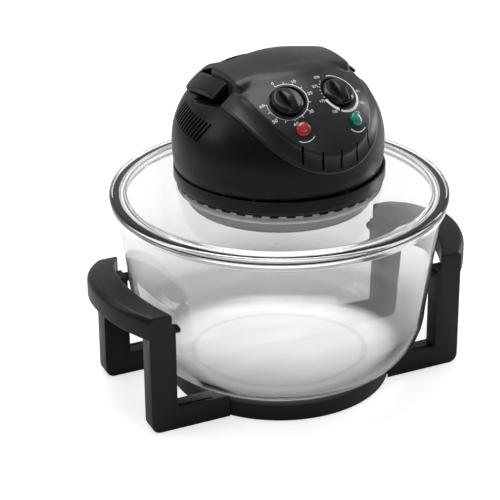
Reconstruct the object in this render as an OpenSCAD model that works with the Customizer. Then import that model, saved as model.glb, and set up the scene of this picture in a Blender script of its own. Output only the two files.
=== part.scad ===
// Countertop halogen oven: a glass bowl in a two-handled stand, under a lift-off glass lid
// that carries the heater, the fans and the control head.
// Origin: centre of the footprint on the table. +Z up, -Y front, X through the side handles.

/* [Stand] */
// Outer radius of the ring under the bowl
ring_r = 110; // [106:1:120]
// Height of the ring, which is where the bowl rests
ring_h = 20; // [18:1:24]
// Wall thickness of the ring
ring_wall = 4; // [3:0.5:4.5]
// Distance from the middle to the front face of the front legs
leg_y = 70; // [64:1:76]
// Width of a leg, seen from the front
leg_w = 26.5; // [22:0.5:30]
// Depth of a leg, from front to back
leg_t = 18; // [14:0.5:20]
// Rounding of a leg's outer edges
leg_round = 8; // [3:0.5:9]
// Height of the side handles' undersides
bar_z = 99.5; // [85:0.5:105]
// Thickness of the side handles, from top to bottom
bar_h = 23; // [16:0.5:26]
// How far the handles bow out beyond the legs
bar_bow = 28; // [18:0.5:34]
// How far the handles rise in the middle
bar_rise = 9; // [4:0.5:12]
// Height of the arms that join the legs to the ring
arm_h = 23; // [20.5:0.5:26]
// Radius of the pegs that steady the bowl
peg_r = 4.5; // [3:0.25:6]

/* [Bowl] */
// Outer radius of the bowl under its rim
bowl_r = 159; // [150:1:166]
// Height of the bowl
bowl_h = 172; // [140:1:200]
// Outer radius of the bowl where its wall meets the corner at the foot
bowl_foot_r = 145.4; // [138:0.2:148]
// Radius of the corner at the foot of the bowl
bowl_corner = 54; // [45:1:60]
// Thickness of the glass
glass_t = 5; // [3.5:0.25:6]
// Width of the bowl's rim beyond its wall
rim_lip = 4.5; // [2:0.25:8]
// Height of the bowl's rim
rim_h = 6.3; // [4:0.1:9]

/* [Lid] */
// How far the lid's edge stands out beyond the bowl's rim
lid_lip = 1.5; // [0:0.25:4]
// Height of the lid's thick edge
lid_edge_h = 7.5; // [5:0.5:10]
// Radius of the hole in the glass lid
lid_hole_r = 93; // [91:0.5:95]
// How far the glass rises from the bowl's rim to the hole
lid_rise = 17.5; // [14:0.5:24]
// Thickness of the lid's glass
lid_glass_t = 4.5; // [3.5:0.25:5.5]

/* [Heater] */
// Outer radius of the heater drum
drum_r = 88.5; // [84:0.5:89]
// Depth of the heater drum below the head
drum_h = 24; // [23:0.5:34]
// Wall thickness of the heater drum
drum_wall = 1; // [0.8:0.1:1.4]
// Radius of the ring that the halogen tube follows
tube_ring_r = 62; // [59:0.5:66]
// Radius of the halogen tube
tube_r = 5; // [4:0.25:5.5]
// Radius of the fan that moves the hot air
hot_fan_r = 46; // [38:1:50]

/* [Head] */
// Turn of the lid and its head on the bowl, in degrees
head_turn = 3; // [0:1:8]
// Turn of the control panel within the head, in degrees
panel_turn = 6; // [0:1:8]
// Outer radius of the head's base
base_r = 102.4; // [101.6:0.2:106]
// Height of the head's base
base_h = 14; // [12:0.5:16]
// Width of the groove between the base and the cover
base_groove = 0.5; // [0.3:0.1:1.5]
// Largest radius of the head's cover
dome_a = 102.4; // [101:0.2:105]
// Height of the cover above its widest place
dome_c = 85; // [80:1:90]
// Height of the cover's widest place above the base's underside
dome_z = 38; // [34:1:42]
// How far the cover sits back from the middle
dome_back = 2.5; // [0:0.5:4]
// Wall thickness of the mouldings
wall = 2.5; // [2:0.1:3]
// Half width of the raised middle of the cover
hump_x = 61; // [60:0.5:62]
// Height of the raised middle above the widest place
hump_c = 86.5; // [86.5:0.5:92]
// How far the raised middle reaches forward
hump_front = 33; // [30:1:36]
// Number of air slots on each side of the cover
vent_count = 12; // [6:1:14]

/* [Control panel] */
// How far the control panel stands proud of the cover
panel_proud = 1.2; // [0.4:0.2:2]
// Radius of the panel's curved lower edge, seen from the front
panel_r = 81.5; // [78:0.5:84]
// Height of the centre of that edge above the base's underside
panel_z = 118; // [116:1:122]
// Number of slots in the panel's lower edge
lip_slots = 5; // [3:2:7]
// Distance of the timer to the left of the panel's middle
timer_x = 32; // [30:0.5:34]
// Distance of the thermostat to the right of the panel's middle
thermostat_x = 21; // [20:0.5:24]
// Distance of the timer in front of the head's middle
timer_y = 59; // [57:0.5:62]
// Distance of the thermostat in front of the head's middle
thermostat_y = 64.5; // [61:0.5:66]
// Radius of a knob
knob_r = 15.5; // [14:0.5:17]
// Height of a knob's rim above the floor of its recess
knob_h = 8; // [6:0.5:10]
// Distance of the lamps to either side of the middle between them
lamp_x = 28.4; // [27:0.2:30]
// Distance of that middle to the left of the panel's middle
lamp_shift = 2; // [0:0.5:3]
// Distance of that middle in front of the head's middle
lamp_y = 82.9; // [81:0.1:84]
// How far the right lamp stands further to the front than that middle, and the left one further back
lamp_skew = 1.4; // [0:0.1:2]
// Radius of a lamp's lens
lamp_r = 7; // [5:0.25:8]

/* [Carrying handle] */
// Distance from the hinge to the middle of the crossbar
bail_reach = 59; // [57:0.5:62]
// Width of the crossbar
bail_w = 18; // [14:0.5:19]
// Thickness of the carrying handle
bail_t = 15; // [12:0.5:16]
// How far the handle's outer faces stand proud of the cover
bail_proud = 1; // [0.5:0.25:3]
// Slope of the handle when it lies down, in degrees
bail_slope = 8; // [4:1:12]
// Radius of the hinge pins
pin_r = 3; // [2:0.25:3.5]

/* [Motor] */
// Radius of the motor's shaft
shaft_r = 3; // [2:0.25:3.5]
// Radius of the fan that cools the head
cool_fan_r = 50; // [40:1:52]
// Width of the motor's iron core
core_w = 60; // [50:1:64]
// Height of the motor's iron core
core_h = 18; // [12:1:22]
// Radius of the rotor
rotor_r = 15; // [12:0.5:17]

/* [Fits] */
// Radial play of a shaft or pin that turns
running_gap = 0.05; // [0.02:0.01:0.09]
// Gap between parts that are fixed to each other
joint_gap = 0.2; // [0.1:0.05:0.4]
// Gap around parts that move
moving_gap = 1; // [0.6:0.1:1.4]
// Gap between the bowl and its pegs
peg_gap = 0.3; // [0.3:0.1:0.6]
// Gap between the bowl and the legs
leg_gap = 1.8; // [1.2:0.1:4]

/* [Hidden] */
$fn = 96;

// Heights above the table
bowl_z = ring_h;
rim_z = bowl_z + bowl_h;
seat_z = rim_z + lid_rise + 2.5;

// Bowl: the corner's centre, the slope of the wall and the wall's radius at a height above its foot
corner_x = bowl_foot_r - bowl_corner;
wall_h = bowl_h - rim_h - bowl_corner;
function bowl_at(h) = bowl_foot_r + (bowl_r - bowl_foot_r) * (h - bowl_corner) / wall_h;
rim_r = bowl_r + rim_lip;
lid_r = rim_r + lid_lip;
mouth_r = bowl_r - glass_t;

// Stand: the legs stand just clear of the bowl
leg_inner_y = leg_y - leg_t;
leg_in = sqrt(pow(bowl_at(bar_z - bowl_z) + leg_gap, 2) - pow(leg_inner_y, 2));
leg_out = leg_in + leg_w;
arm_in = sqrt(pow(ring_r, 2) - pow(leg_inner_y, 2));
peg_z = bar_z + 4;
ring_in = corner_x - 9.5;
tongue_t = 6;
tongue_z = 2;
tongue_l = 22;
screw_x = arm_in - tongue_l / 2 - 3;
screw_y = leg_y - leg_t / 2;
screw_r = 1.9;

// Lid
skirt_h = 6;
skirt_gap = 1;
glass_top = seat_z - 2.5;
crown_in = lid_hole_r;
crown_out = rim_r - 5.5;
crown_drop = glass_top - (rim_z + lid_edge_h - 0.1);
function lid_top(r) = glass_top - crown_drop * (pow(r, 2) - pow(crown_in, 2)) / (pow(crown_out, 2) - pow(crown_in, 2));

// Gasket and clamp, measured down from the head's underside
gasket_out = lid_hole_r + 5;
gasket_web = 2.3;
gasket_in = lid_hole_r - 0.3 - gasket_web;
glass_slope = lid_top(lid_hole_r) - lid_top(gasket_out);
lower_lip = -2.5 - lid_glass_t - glass_slope - joint_gap;
lip_t = 2;
clamp_z = lower_lip - lip_t;

// Heater, measured down from the head's underside
flange_t = 1.2;
insulation_t = 3.8;
reflector_z = -flange_t - insulation_t - 1;
tube_z = reflector_z - tube_r - 3.5;
guard_z = -drum_h + 0.4;
guard_h = 1.4;
tube_gap_angle = 40;
cap_w = 14;

// Head, measured up from its underside
floor_t = 3;
shaft_hole_r = 12;
dome_low = 120;
hump_a = 118;
hump_rear = 25;
hump_low = 60;
hump_foot = 84;
panel_back = 24;
dome_bottom = base_h + base_groove;
boss_r = 84;
post_xy = 42;
post_h = 18;
slot_gap = 0.3;
slot_z = panel_z - panel_r + 4;
slot_l = 17.6;
slot_rise = 2.3;
slot_step = 11.1;
function dome_h(x, y) = dome_z + dome_c * sqrt(1 - (pow(x, 2) + pow(y - dome_back, 2)) / pow(dome_a, 2));
function dome_grad(x, y) = [x / pow(dome_a, 2), (y - dome_back) / pow(dome_a, 2), (dome_h(x, y) - dome_z) / pow(dome_c, 2)];
function tilt_of(g) = asin(-g[1] / norm(g));
function splay_of(g) = atan2(g[0], g[2]);
function ellipse_r(a, c_up, c_low, z) = a * sqrt(max(0, 1 - pow((z - dome_z) / (z > dome_z ? c_up : c_low), 2)));

// Knobs and lamps
knob_tilt = 28;
timer_splay = -3;
thermostat_splay = 3;
recess_gap = 1.5;
recess_d = 5;
knob_under = 1;
timer_at = [-timer_x, -timer_y, dome_h(timer_x, -timer_y)];
thermostat_at = [thermostat_x, -thermostat_y, dome_h(thermostat_x, -thermostat_y)];
function lamp_at(side) = [side * lamp_x - lamp_shift, -lamp_y - side * lamp_skew];
knob_shaft_r = 3;
timer_size = 26;
timer_d = 18;
timer_off = [3, 4];
thermostat_r = 15.5;
thermostat_d = 20;
body_in = recess_d + wall + joint_gap;
lamp_body_l = 11;

// Carrying handle, in a frame at its hinge with the handle lying along +Y
pivot = [0, -2, 101];
bail_in = hump_x + moving_gap;
bail_out = bail_in + 16;
bail_front = 10;
well_front = bail_front + 10;
well_rear = bail_reach + bail_w / 2 + 5;
well_floor = bail_t / 2 + moving_gap;
well_deep = sqrt(pow(bail_front, 2) + pow(bail_t / 2, 2)) + moving_gap;
well_start = hump_rear - 2;
pin_grip = 4;

// Safety switch: its plunger follows a cam whose radius falls evenly with the turn
cam_x = hump_x - 7.5;
cam_t = 3;
cam_rest = 8;
cam_fall = 3;
cam_sweep = 100;
plunger_gap = 0.3;
plunger_r = 1.5;
plunger_l = 9;
switch_top = pivot[2] - cam_rest - plunger_gap - 4;
switch_size = [8, 24, 15];
bracket_t = 1.2;

// Motor, measured up from the head's underside
bracket_z = floor_t + post_h;
motor_plate = 2;
core_z = bracket_z + motor_plate + 8;
bridge_z = core_z + core_h + 8;
shaft_top = bridge_z + 5;
shaft_bottom = guard_z + guard_h + 0.6;
bearing_r = 7;
bearing_h = 6;
air_gap = 0.5;
spacer_xy = core_w / 2 - 6;
motor_screw_r = 1.5;
cool_fan_z = floor_t + 4;
hot_fan_top = reflector_z - 2;
hot_fan_bottom = shaft_bottom + 3.4;

// Rear parts of the head
gland_z = 28;
gland_r = 6;
gland_y = dome_a + dome_back - 12.9;
cord_r = 3.6;
probe = [36, -67];
cutout_at = [-62, 22];
terminal_y = 76;

module in_head() {
    translate([0, 0, seat_z]) rotate([0, 0, head_turn]) children();
}

module in_panel() {
    in_head() rotate([0, 0, panel_turn]) children();
}

module in_bail() {
    in_head() translate(pivot) rotate([-bail_slope, 0, 0]) children();
}

module both_sides() {
    children();
    mirror([1, 0, 0]) children();
}

module four_ways() {
    both_sides() {
        children();
        mirror([0, 1, 0]) children();
    }
}

module tube_of(outer, inner, h) {
    difference() {
        cylinder(r = outer, h = h);
        translate([0, 0, -1]) cylinder(r = inner, h = h + 2);
    }
}

module box(x0, x1, y0, y1, z0, z1) {
    translate([x0, y0, z0]) cube([x1 - x0, y1 - y0, z1 - z0]);
}

// A screw whose head sits on z = 0 and whose shank points down
module screw(r, length, head_r, head_h) {
    translate([0, 0, -length]) cylinder(r = r, h = length, $fn = 32);
    difference() {
        cylinder(r = head_r, h = head_h, $fn = 32);
        for (a = [0, 90])
            rotate([0, 0, a]) box(-head_r * 0.6, head_r * 0.6, -0.5, 0.5, head_h - 1, head_h + 1);
    }
}

// A straight round rod from one point to another
module rod(from, to, r) {
    d = to - from;
    translate(from) rotate([0, acos(d[2] / norm(d)), atan2(d[1], d[0])]) cylinder(r = r, h = norm(d), $fn = 24);
}

// A bent wire with ball joints
module wire(points, r) {
    for (i = [0 : len(points) - 2]) rod(points[i], points[i + 1], r);
    for (i = [1 : len(points) - 2]) translate(points[i]) sphere(r = r * 1.15, $fn = 24);
}

// Stand

module tongue(grow, bottom) {
    box(arm_in - tongue_l - grow, arm_in + 4, screw_y - 6 - grow, screw_y + 6 + grow, bottom, tongue_z + tongue_t + grow);
}

module base_ring() {
    color("#1d1d1f") difference() {
        union() {
            rotate_extrude() polygon([
                [ring_in, 0], [ring_in + ring_wall, 0], [ring_in + ring_wall, ring_h - ring_wall],
                [ring_r - ring_wall, ring_h - ring_wall], [ring_r - ring_wall, 0], [ring_r - 1, 0],
                [ring_r, 1], [ring_r, ring_h - 4], [ring_r - 3, ring_h - 1],
                [corner_x - 1.5, ring_h - 1], [corner_x - 2.5, ring_h], [ring_in, ring_h]
            ]);
            four_ways() translate([screw_x, screw_y, tongue_z + tongue_t + joint_gap])
                cylinder(r = 5, h = ring_h - ring_wall - tongue_z - tongue_t, $fn = 32);
        }
        four_ways() tongue(joint_gap, -1);
        four_ways() translate([screw_x, screw_y, 0]) cylinder(r = screw_r, h = ring_h - 2, $fn = 32);
    }
}

module bar_plan() {
    bar_r = (pow(leg_y, 2) + pow(bar_bow, 2)) / (2 * bar_bow);
    inner_bow = bar_bow - 7;
    inner_r = (pow(leg_y, 2) + pow(inner_bow, 2)) / (2 * inner_bow);
    intersection() {
        translate([leg_out + bar_bow - bar_r, 0]) circle(r = bar_r);
        translate([leg_in + 2, -leg_y]) square([bar_bow * 2 + leg_w, 2 * leg_y]);
        difference() {
            translate([leg_in, -leg_y]) square([bar_bow * 2 + leg_w, 2 * leg_y]);
            translate([leg_in + 3 + inner_bow - inner_r, 0]) circle(r = inner_r);
        }
    }
}

module leg_plan() {
    translate([leg_in, leg_inner_y]) square([leg_w, leg_t - leg_round]);
    translate([leg_in, leg_inner_y]) square([leg_w - leg_round, leg_t]);
    translate([leg_out - leg_round, leg_y - leg_round]) circle(r = leg_round);
}

module bowl_clearance(gap) {
    translate([0, 0, bowl_z + bowl_corner])
        cylinder(r1 = bowl_foot_r + gap, r2 = bowl_r + gap, h = wall_h);
}

// The side handle's arched profile, between two arcs, seen along X
module bar_arch() {
    half = leg_y + 1;
    arch_r = (pow(half, 2) + pow(bar_rise, 2)) / (2 * bar_rise);
    translate([0, 0, bar_z + bar_rise - arch_r]) rotate([0, 90, 0]) difference() {
        translate([0, 0, 100]) cylinder(r = arch_r + bar_h, h = 120, $fn = 256);
        translate([0, 0, 99]) cylinder(r = arch_r, h = 122, $fn = 256);
    }
}

module side_frame() {
    difference() {
        union() {
            intersection() {
                translate([0, 0, bar_z]) linear_extrude(bar_h + bar_rise) bar_plan();
                bar_arch();
            }
            for (side = [0, 1]) mirror([0, side, 0]) {
                linear_extrude(bar_z + bar_h) leg_plan();
                difference() {
                    box(corner_x - 10, leg_in + 1, leg_inner_y, leg_y, 0, arm_h);
                    cylinder(r = ring_r + 1.5, h = 80, center = true);
                }
                tongue(0, tongue_z);
            }
        }
        bowl_clearance(peg_gap + 0.5);
        for (side = [0, 1]) mirror([0, side, 0]) {
            box(arm_in + 4, leg_in - 2, leg_y - 5.5, leg_y - 3.5, arm_h - 1.5, arm_h + 1);
            translate([leg_in - 1, screw_y, peg_z]) rotate([0, 90, 0]) cylinder(r = peg_r - 2, h = 12, $fn = 32);
            translate([screw_x, screw_y, 0]) cylinder(r = screw_r + joint_gap, h = 20, $fn = 32);
            translate([screw_x, screw_y, 0]) cylinder(r = 4, h = tongue_z + 2.4, $fn = 32);
        }
    }
}

module left_side_frame() {
    color("#222224") mirror([1, 0, 0]) side_frame();
}

module right_side_frame() {
    color("#222224") side_frame();
}

module bowl_pegs() {
    color("#141414") four_ways() difference() {
        translate([leg_in - 8, screw_y, peg_z]) rotate([0, 90, 0]) union() {
            cylinder(r = peg_r, h = 8, $fn = 48);
            cylinder(r = peg_r - 2 - 0.02, h = 17, $fn = 32);
        }
        bowl_clearance(peg_gap);
    }
}

module stand_screws() {
    color("#9a9a9a") four_ways() translate([screw_x, screw_y, tongue_z + 2.4])
        mirror([0, 0, 1]) screw(screw_r - 0.02, 11, 3.6, 2.2);
}

// Bowl

module glass_bowl() {
    inner_corner = bowl_corner - glass_t;
    color([0.85, 0.9, 0.9, 0.3]) translate([0, 0, bowl_z]) rotate_extrude($fn = 128) difference() {
        union() {
            square([corner_x, bowl_h]);
            translate([corner_x, bowl_corner]) intersection() {
                circle(r = bowl_corner);
                translate([0, -bowl_corner]) square(bowl_corner);
            }
            polygon([
                [corner_x - 1, bowl_corner], [bowl_foot_r, bowl_corner], [bowl_r, bowl_h - rim_h],
                [rim_r - 1.5, bowl_h - rim_h], [rim_r, bowl_h - rim_h + 1.5], [rim_r, bowl_h - 1],
                [rim_r - 1, bowl_h], [corner_x - 1, bowl_h]
            ]);
        }
        translate([0, glass_t]) square([corner_x, bowl_h]);
        translate([corner_x, bowl_corner]) intersection() {
            circle(r = inner_corner);
            translate([-1, -inner_corner]) square(inner_corner + 1);
        }
        polygon([
            [corner_x - 1, bowl_corner], [bowl_foot_r - glass_t, bowl_corner], [mouth_r, bowl_h - rim_h],
            [mouth_r, bowl_h + 1], [corner_x - 1, bowl_h + 1]
        ]);
    }
}

// Lid

module glass_lid() {
    steps = 8;
    radii = [for (i = [0 : steps]) crown_in + (crown_out - crown_in) * i / steps];
    skirt_out = mouth_r - skirt_gap;
    skirt_in = skirt_out - glass_t + 1;
    top = [for (r = radii) [r, lid_top(r)]];
    bottom = [for (i = [steps : -1 : 0]) if (radii[i] < skirt_in) [radii[i], lid_top(radii[i]) - lid_glass_t]];
    color([0.85, 0.9, 0.9, 0.3]) rotate([0, 0, head_turn]) rotate_extrude($fn = 128) polygon(concat(
        top,
        [
            [lid_r - 2, rim_z + lid_edge_h], [lid_r, rim_z + lid_edge_h - 2], [lid_r, rim_z + 1.5],
            [lid_r - 1.5, rim_z], [skirt_out, rim_z], [skirt_out, rim_z - skirt_h + 1],
            [skirt_out - 1, rim_z - skirt_h], [skirt_in, rim_z - skirt_h],
            [skirt_in, lid_top(skirt_in) - lid_glass_t]
        ],
        bottom
    ));
}

module lid_gasket() {
    color("#cfd2d2") in_head() rotate_extrude() polygon([
        [gasket_in, clamp_z], [gasket_out, clamp_z], [gasket_out, lower_lip], [gasket_in + gasket_web, lower_lip],
        [gasket_in + gasket_web, -2.5 + joint_gap], [gasket_out, -2.5 + joint_gap], [gasket_out, 0], [gasket_in, 0]
    ]);
}

module clamp_ring() {
    color("#b9bbbd") in_head() translate([0, 0, clamp_z - 1]) tube_of(gasket_out + 1, drum_r + joint_gap, 1);
}

// Heater

module heater_drum() {
    color("#b4b6b8") in_head() difference() {
        translate([0, 0, -drum_h]) cylinder(r = drum_r, h = drum_h);
        translate([0, 0, -drum_h - 1]) cylinder(r = drum_r - drum_wall, h = drum_h + 1 - flange_t);
        translate([0, 0, -drum_h]) cylinder(r = 62, h = drum_h + 1);
        drum_screw_places() cylinder(r = 1.6, h = 20, center = true, $fn = 24);
        probe_hole();
    }
}

module drum_screw_places() {
    for (a = [22.5 : 90 : 337.5]) rotate([0, 0, a]) translate([80, 0, floor_t]) children();
}

module probe_hole() {
    translate([probe[0], probe[1], -drum_h]) cylinder(r = 2, h = drum_h + 20, $fn = 24);
}

module insulation_disc() {
    color("#d8d2c0") in_head() difference() {
        translate([0, 0, -flange_t - insulation_t]) tube_of(drum_r - drum_wall - 1.5, shaft_hole_r, insulation_t);
        drum_screw_places() translate([0, 0, -10]) cylinder(r = 2.4, h = 10, $fn = 24);
        probe_hole();
    }
}

module reflector() {
    rim = drum_r - drum_wall - 2;
    color("#c9cbcd") in_head() difference() {
        rotate_extrude() polygon([
            [8, reflector_z], [rim - 6, reflector_z], [rim - 1, -drum_h + 8], [rim, -drum_h + 8],
            [rim - 5, reflector_z + 1], [8, reflector_z + 1]
        ]);
        probe_hole();
    }
}

module halogen_tube() {
    color([0.95, 0.95, 0.95, 0.5]) in_head() translate([0, 0, tube_z]) rotate([0, 0, 90 + tube_gap_angle / 2])
        rotate_extrude(angle = 360 - tube_gap_angle) translate([tube_ring_r, 0]) difference() {
            circle(r = tube_r, $fn = 32);
            circle(r = tube_r - 1, $fn = 32);
        }
}

module tube_filament() {
    color("#6b6b6b") in_head() translate([0, 0, tube_z]) rotate([0, 0, 90 + tube_gap_angle / 2])
        rotate_extrude(angle = 360 - tube_gap_angle) translate([tube_ring_r, 0]) circle(r = 0.8, $fn = 16);
}

module tube_end_caps() {
    color("#e6e2d8") in_head() for (side = [-1, 1]) rotate([0, 0, 90 + side * (tube_gap_angle / 2)]) {
        x0 = tube_ring_r - cap_w / 2;
        y0 = side > 0 ? -cap_w : 0;
        box(x0, x0 + cap_w, y0, y0 + cap_w, tube_z - tube_r - 1, reflector_z);
    }
}

module tube_clips() {
    color("#a8aaac") in_head() difference() {
        for (a = [150, 270, 390]) rotate([0, 0, a])
            box(tube_ring_r - 8, tube_ring_r + 8, -1, 1, tube_z - tube_r - 1.5, reflector_z);
        translate([0, 0, tube_z]) rotate_extrude() translate([tube_ring_r, 0])
            circle(r = tube_r + 0.1, $fn = 32);
    }
}

module fan_guard() {
    wire_w = 1.6;
    radii = [18, 31, 44, 57, 70];
    color("#bfc1c3") in_head() translate([0, 0, guard_z]) linear_extrude(guard_h) {
        for (r = radii) difference() {
            circle(r = r + wire_w / 2);
            circle(r = r - wire_w / 2);
        }
        difference() {
            circle(r = drum_r - drum_wall - joint_gap);
            circle(r = drum_r - drum_wall - 4);
        }
        for (a = [0 : 60 : 300]) rotate(a) translate([18, -wire_w / 2]) square([drum_r - drum_wall - 20, wire_w]);
    }
}

module drum_screws() {
    color("#9a9a9a") in_head() drum_screw_places() screw(1.58, floor_t + flange_t, 3, 1.8);
}

// Head

module dome(out) {
    levels = 14;
    low = dome_bottom;
    high = dome_z + dome_c + out;
    zs = [for (i = [0 : levels]) low + (high - low) * sin(90 * i / levels)];
    translate([0, dome_back, 0]) rotate_extrude() polygon(concat(
        [[0, low]],
        [for (z = zs) [ellipse_r(dome_a + out, dome_c + out, dome_low, z), z]]
    ));
}

module hump_dome(out) {
    levels = 8;
    high = dome_z + hump_c + out;
    zs = [for (i = [0 : levels]) hump_low + (high - hump_low) * sin(90 * i / levels)];
    rotate_extrude() polygon(concat(
        [[0, hump_low]],
        [for (z = zs) [ellipse_r(hump_a + out, hump_c + out, dome_low, z), z]]
    ));
}

module hump(out) {
    intersection() {
        hump_dome(out);
        box(-hump_x - out, hump_x + out, -hump_front - out, hump_rear + out, hump_low, 140);
    }
}

// The space that the carrying handle lies and swings in, in the head's frame
module handle_well(out) {
    translate(pivot) rotate([-bail_slope, 0, 0]) {
        both_sides() {
            box(hump_x - out, 110, -well_front - out, well_rear + out, -well_floor - out, 60);
            box(hump_x - out, 110, -well_front - out, well_front - 2 + out, -well_deep - out, 0);
        }
        box(-110, 110, well_start - out, well_rear + out, -well_floor - out, 60);
    }
}

module head_volume(out) {
    difference() {
        union() {
            dome(out);
            hump(out);
        }
        handle_well(-out);
    }
}

module panel_window(grow) {
    difference() {
        rotate([0, 0, panel_turn]) translate([0, -20, panel_z]) rotate([90, 0, 0])
            cylinder(r = panel_r + grow, h = 110);
        box(-120, 120, -panel_back + grow, 20, 0, 160);
    }
}

module hump_window(grow) {
    box(-hump_x - grow, hump_x + grow, -hump_front - grow, hump_rear + grow, hump_foot - grow, 140);
}

module knob_place(at, splay) {
    rotate([0, 0, panel_turn]) translate(at) rotate([knob_tilt, splay, 0]) children();
}

module both_knob_places() {
    knob_place(timer_at, timer_splay) children();
    knob_place(thermostat_at, thermostat_splay) children();
}

module lamp_place(side) {
    at = lamp_at(side);
    grad = dome_grad(at[0], at[1]);
    rotate([0, 0, panel_turn]) translate([at[0], at[1], dome_h(at[0], at[1])])
        rotate([tilt_of(grad), splay_of(grad), 0]) children();
}

module head_base() {
    color("#19191b") in_head() {
        difference() {
            union() {
                rotate_extrude() polygon([
                    [shaft_hole_r, 0], [base_r - 2.4, 0], [base_r, 4], [base_r, base_h], [base_r - wall, base_h],
                    [base_r - wall, floor_t], [shaft_hole_r, floor_t]
                ]);
                translate([0, 0, -2]) tube_of(gasket_out + 3, gasket_out + joint_gap, 2.5);
                four_ways() translate([post_xy, post_xy, floor_t - 0.5]) cylinder(r = 4.5, h = post_h + 0.5, $fn = 32);
            }
            for (a = [0 : 9 : 351]) rotate([0, 0, a]) box(gasket_out - 1, gasket_out + 5, -2.4, 2.4, -3, -0.2);
            four_ways() translate([post_xy, post_xy, floor_t + 4]) cylinder(r = motor_screw_r, h = post_h, $fn = 24);
            drum_screw_places() cylinder(r = 1.6, h = 20, center = true, $fn = 24);
            head_screw_places() cylinder(r = 1.8, h = 20, center = true, $fn = 24);
            head_screw_places() translate([0, 0, -floor_t - 1]) cylinder(r = 3.4, h = 3, $fn = 24);
            probe_hole();
        }
    }
}

module head_screw_places() {
    for (a = [45 : 90 : 315]) rotate([0, 0, a]) translate([boss_r, 0, floor_t]) children();
}

module air_slots() {
    for (side = [0, 1]) mirror([side, 0, 0]) for (i = [0 : vent_count - 1])
        translate([-110, 33 - i * 5, 72 - 0.4 * i]) rotate([28, 0, 0]) box(0, 50, -1, 1, -11, 11);
}

module head_cover() {
    color("#232325") in_head() {
        difference() {
            union() {
                difference() {
                    head_volume(0);
                    translate([0, 0, -0.1]) head_volume(-wall);
                    panel_window(slot_gap);
                    hump_window(2 * slot_gap);
                    air_slots();
                }
                translate([0, 0, base_h - 5]) tube_of(base_r - wall - 0.4, base_r - wall - 3.2, 8);
                intersection() {
                    dome(-0.5);
                    for (a = [45 : 90 : 315]) rotate([0, 0, a]) {
                        translate([boss_r, 0, dome_bottom]) cylinder(r = 4, h = 12, $fn = 32);
                        box(boss_r, 104, -1.5, 1.5, dome_bottom, dome_bottom + 12);
                    }
                }
                for (a = [45 : 90 : 315]) rotate([0, 0, a]) translate([boss_r, 0, floor_t + joint_gap])
                    cylinder(r = 4, h = dome_bottom - floor_t, $fn = 32);
            }
            head_screw_places() cylinder(r = 1.5, h = 18, $fn = 24);
            translate([0, 80, gland_z]) rotate([-90, 0, 0]) cylinder(r = gland_r + 0.1, h = 40, $fn = 48);
        }
    }
}

module panel_cover() {
    color("#101012") in_head() difference() {
        union() {
            difference() {
                intersection() {
                    union() {
                        dome(panel_proud);
                        hump(0);
                    }
                    union() {
                        panel_window(0);
                        hump_window(slot_gap);
                    }
                }
                handle_well(0);
                head_volume(-wall);
            }
            both_knob_places() translate([0, 0, -recess_d - wall])
                cylinder(r = knob_r + recess_gap + 2, h = recess_d + wall - 3, $fn = 64);
        }
        both_sides() translate([hump_x - 8, pivot[1], pivot[2]]) rotate([0, 90, 0])
            cylinder(r = pin_r + running_gap, h = 12, $fn = 48);
        both_knob_places() {
            translate([0, 0, -recess_d]) cylinder(r = knob_r + recess_gap, h = 20, $fn = 64);
            translate([0, 0, -20]) cylinder(r = knob_shaft_r + 0.5, h = 30, $fn = 32);
        }
        for (side = [-1, 1]) lamp_place(side) translate([0, 0, -20]) cylinder(r = lamp_r + joint_gap, h = 40, $fn = 48);
        for (i = [-(lip_slots - 1) / 2 : (lip_slots - 1) / 2])
            rotate([0, 0, panel_turn + i * slot_step])
                box(-1.1, 1.1, -110, -80, slot_z + slot_rise * pow(i, 2), slot_z + slot_l + slot_rise * pow(i, 2));
    }
}

module head_screws() {
    color("#9a9a9a") in_head() head_screw_places() translate([0, 0, 2 - floor_t]) mirror([0, 0, 1])
        screw(1.48, 15, 3, 1.8);
}

module lamp_lens() {
    translate([0, 0, -3]) cylinder(r = lamp_r, h = 3 + panel_proud, $fn = 48);
    translate([0, 0, panel_proud]) intersection() {
        translate([0, 0, -lamp_r]) sphere(r = lamp_r * sqrt(2), $fn = 48);
        cylinder(r = lamp_r, h = lamp_r, $fn = 48);
    }
}

module power_lamp_lens() {
    color("#c81e1e") in_head() lamp_place(-1) lamp_lens();
}

module heat_lamp_lens() {
    color("#0c8f5a") in_head() lamp_place(1) lamp_lens();
}

module lamp_bodies() {
    color("#e8e4da") in_head() for (side = [-1, 1]) lamp_place(side)
        translate([0, 0, -3 - lamp_body_l]) cylinder(r = lamp_r - 1.5, h = lamp_body_l, $fn = 32);
}

module timer_body() {
    color("#c9c9c4") in_head() knob_place(timer_at, timer_splay) difference() {
        translate([timer_off[0] - timer_size / 2, timer_off[1] - timer_size / 2, -body_in - timer_d])
            cube([timer_size, timer_size, timer_d]);
        translate([0, 0, -body_in - timer_d + 4]) cylinder(r = knob_shaft_r + running_gap, h = timer_d, $fn = 32);
    }
}

module thermostat_body() {
    color("#d9d6cc") in_head() knob_place(thermostat_at, thermostat_splay) difference() {
        translate([0, 0, -body_in - thermostat_d]) cylinder(r = thermostat_r, h = thermostat_d, $fn = 64);
        translate([0, 0, -body_in - thermostat_d + 4]) cylinder(r = knob_shaft_r + running_gap, h = thermostat_d, $fn = 32);
    }
}

module thermostat_probe() {
    color("#b87333") in_head() {
        wire([[probe[0], probe[1], -16], [probe[0], probe[1], 52], [25, -46, 66], [23, -44, 73]], 1);
        translate([probe[0], probe[1], -18]) cylinder(r = 1.8, h = 10, $fn = 24);
    }
}

module thermal_cutout() {
    color("#cfcfcf") in_head() translate([cutout_at[0], cutout_at[1], floor_t]) {
        cylinder(r = 8, h = 6, $fn = 48);
        box(-3, 3, -1, 1, 5, 12);
    }
}

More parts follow.
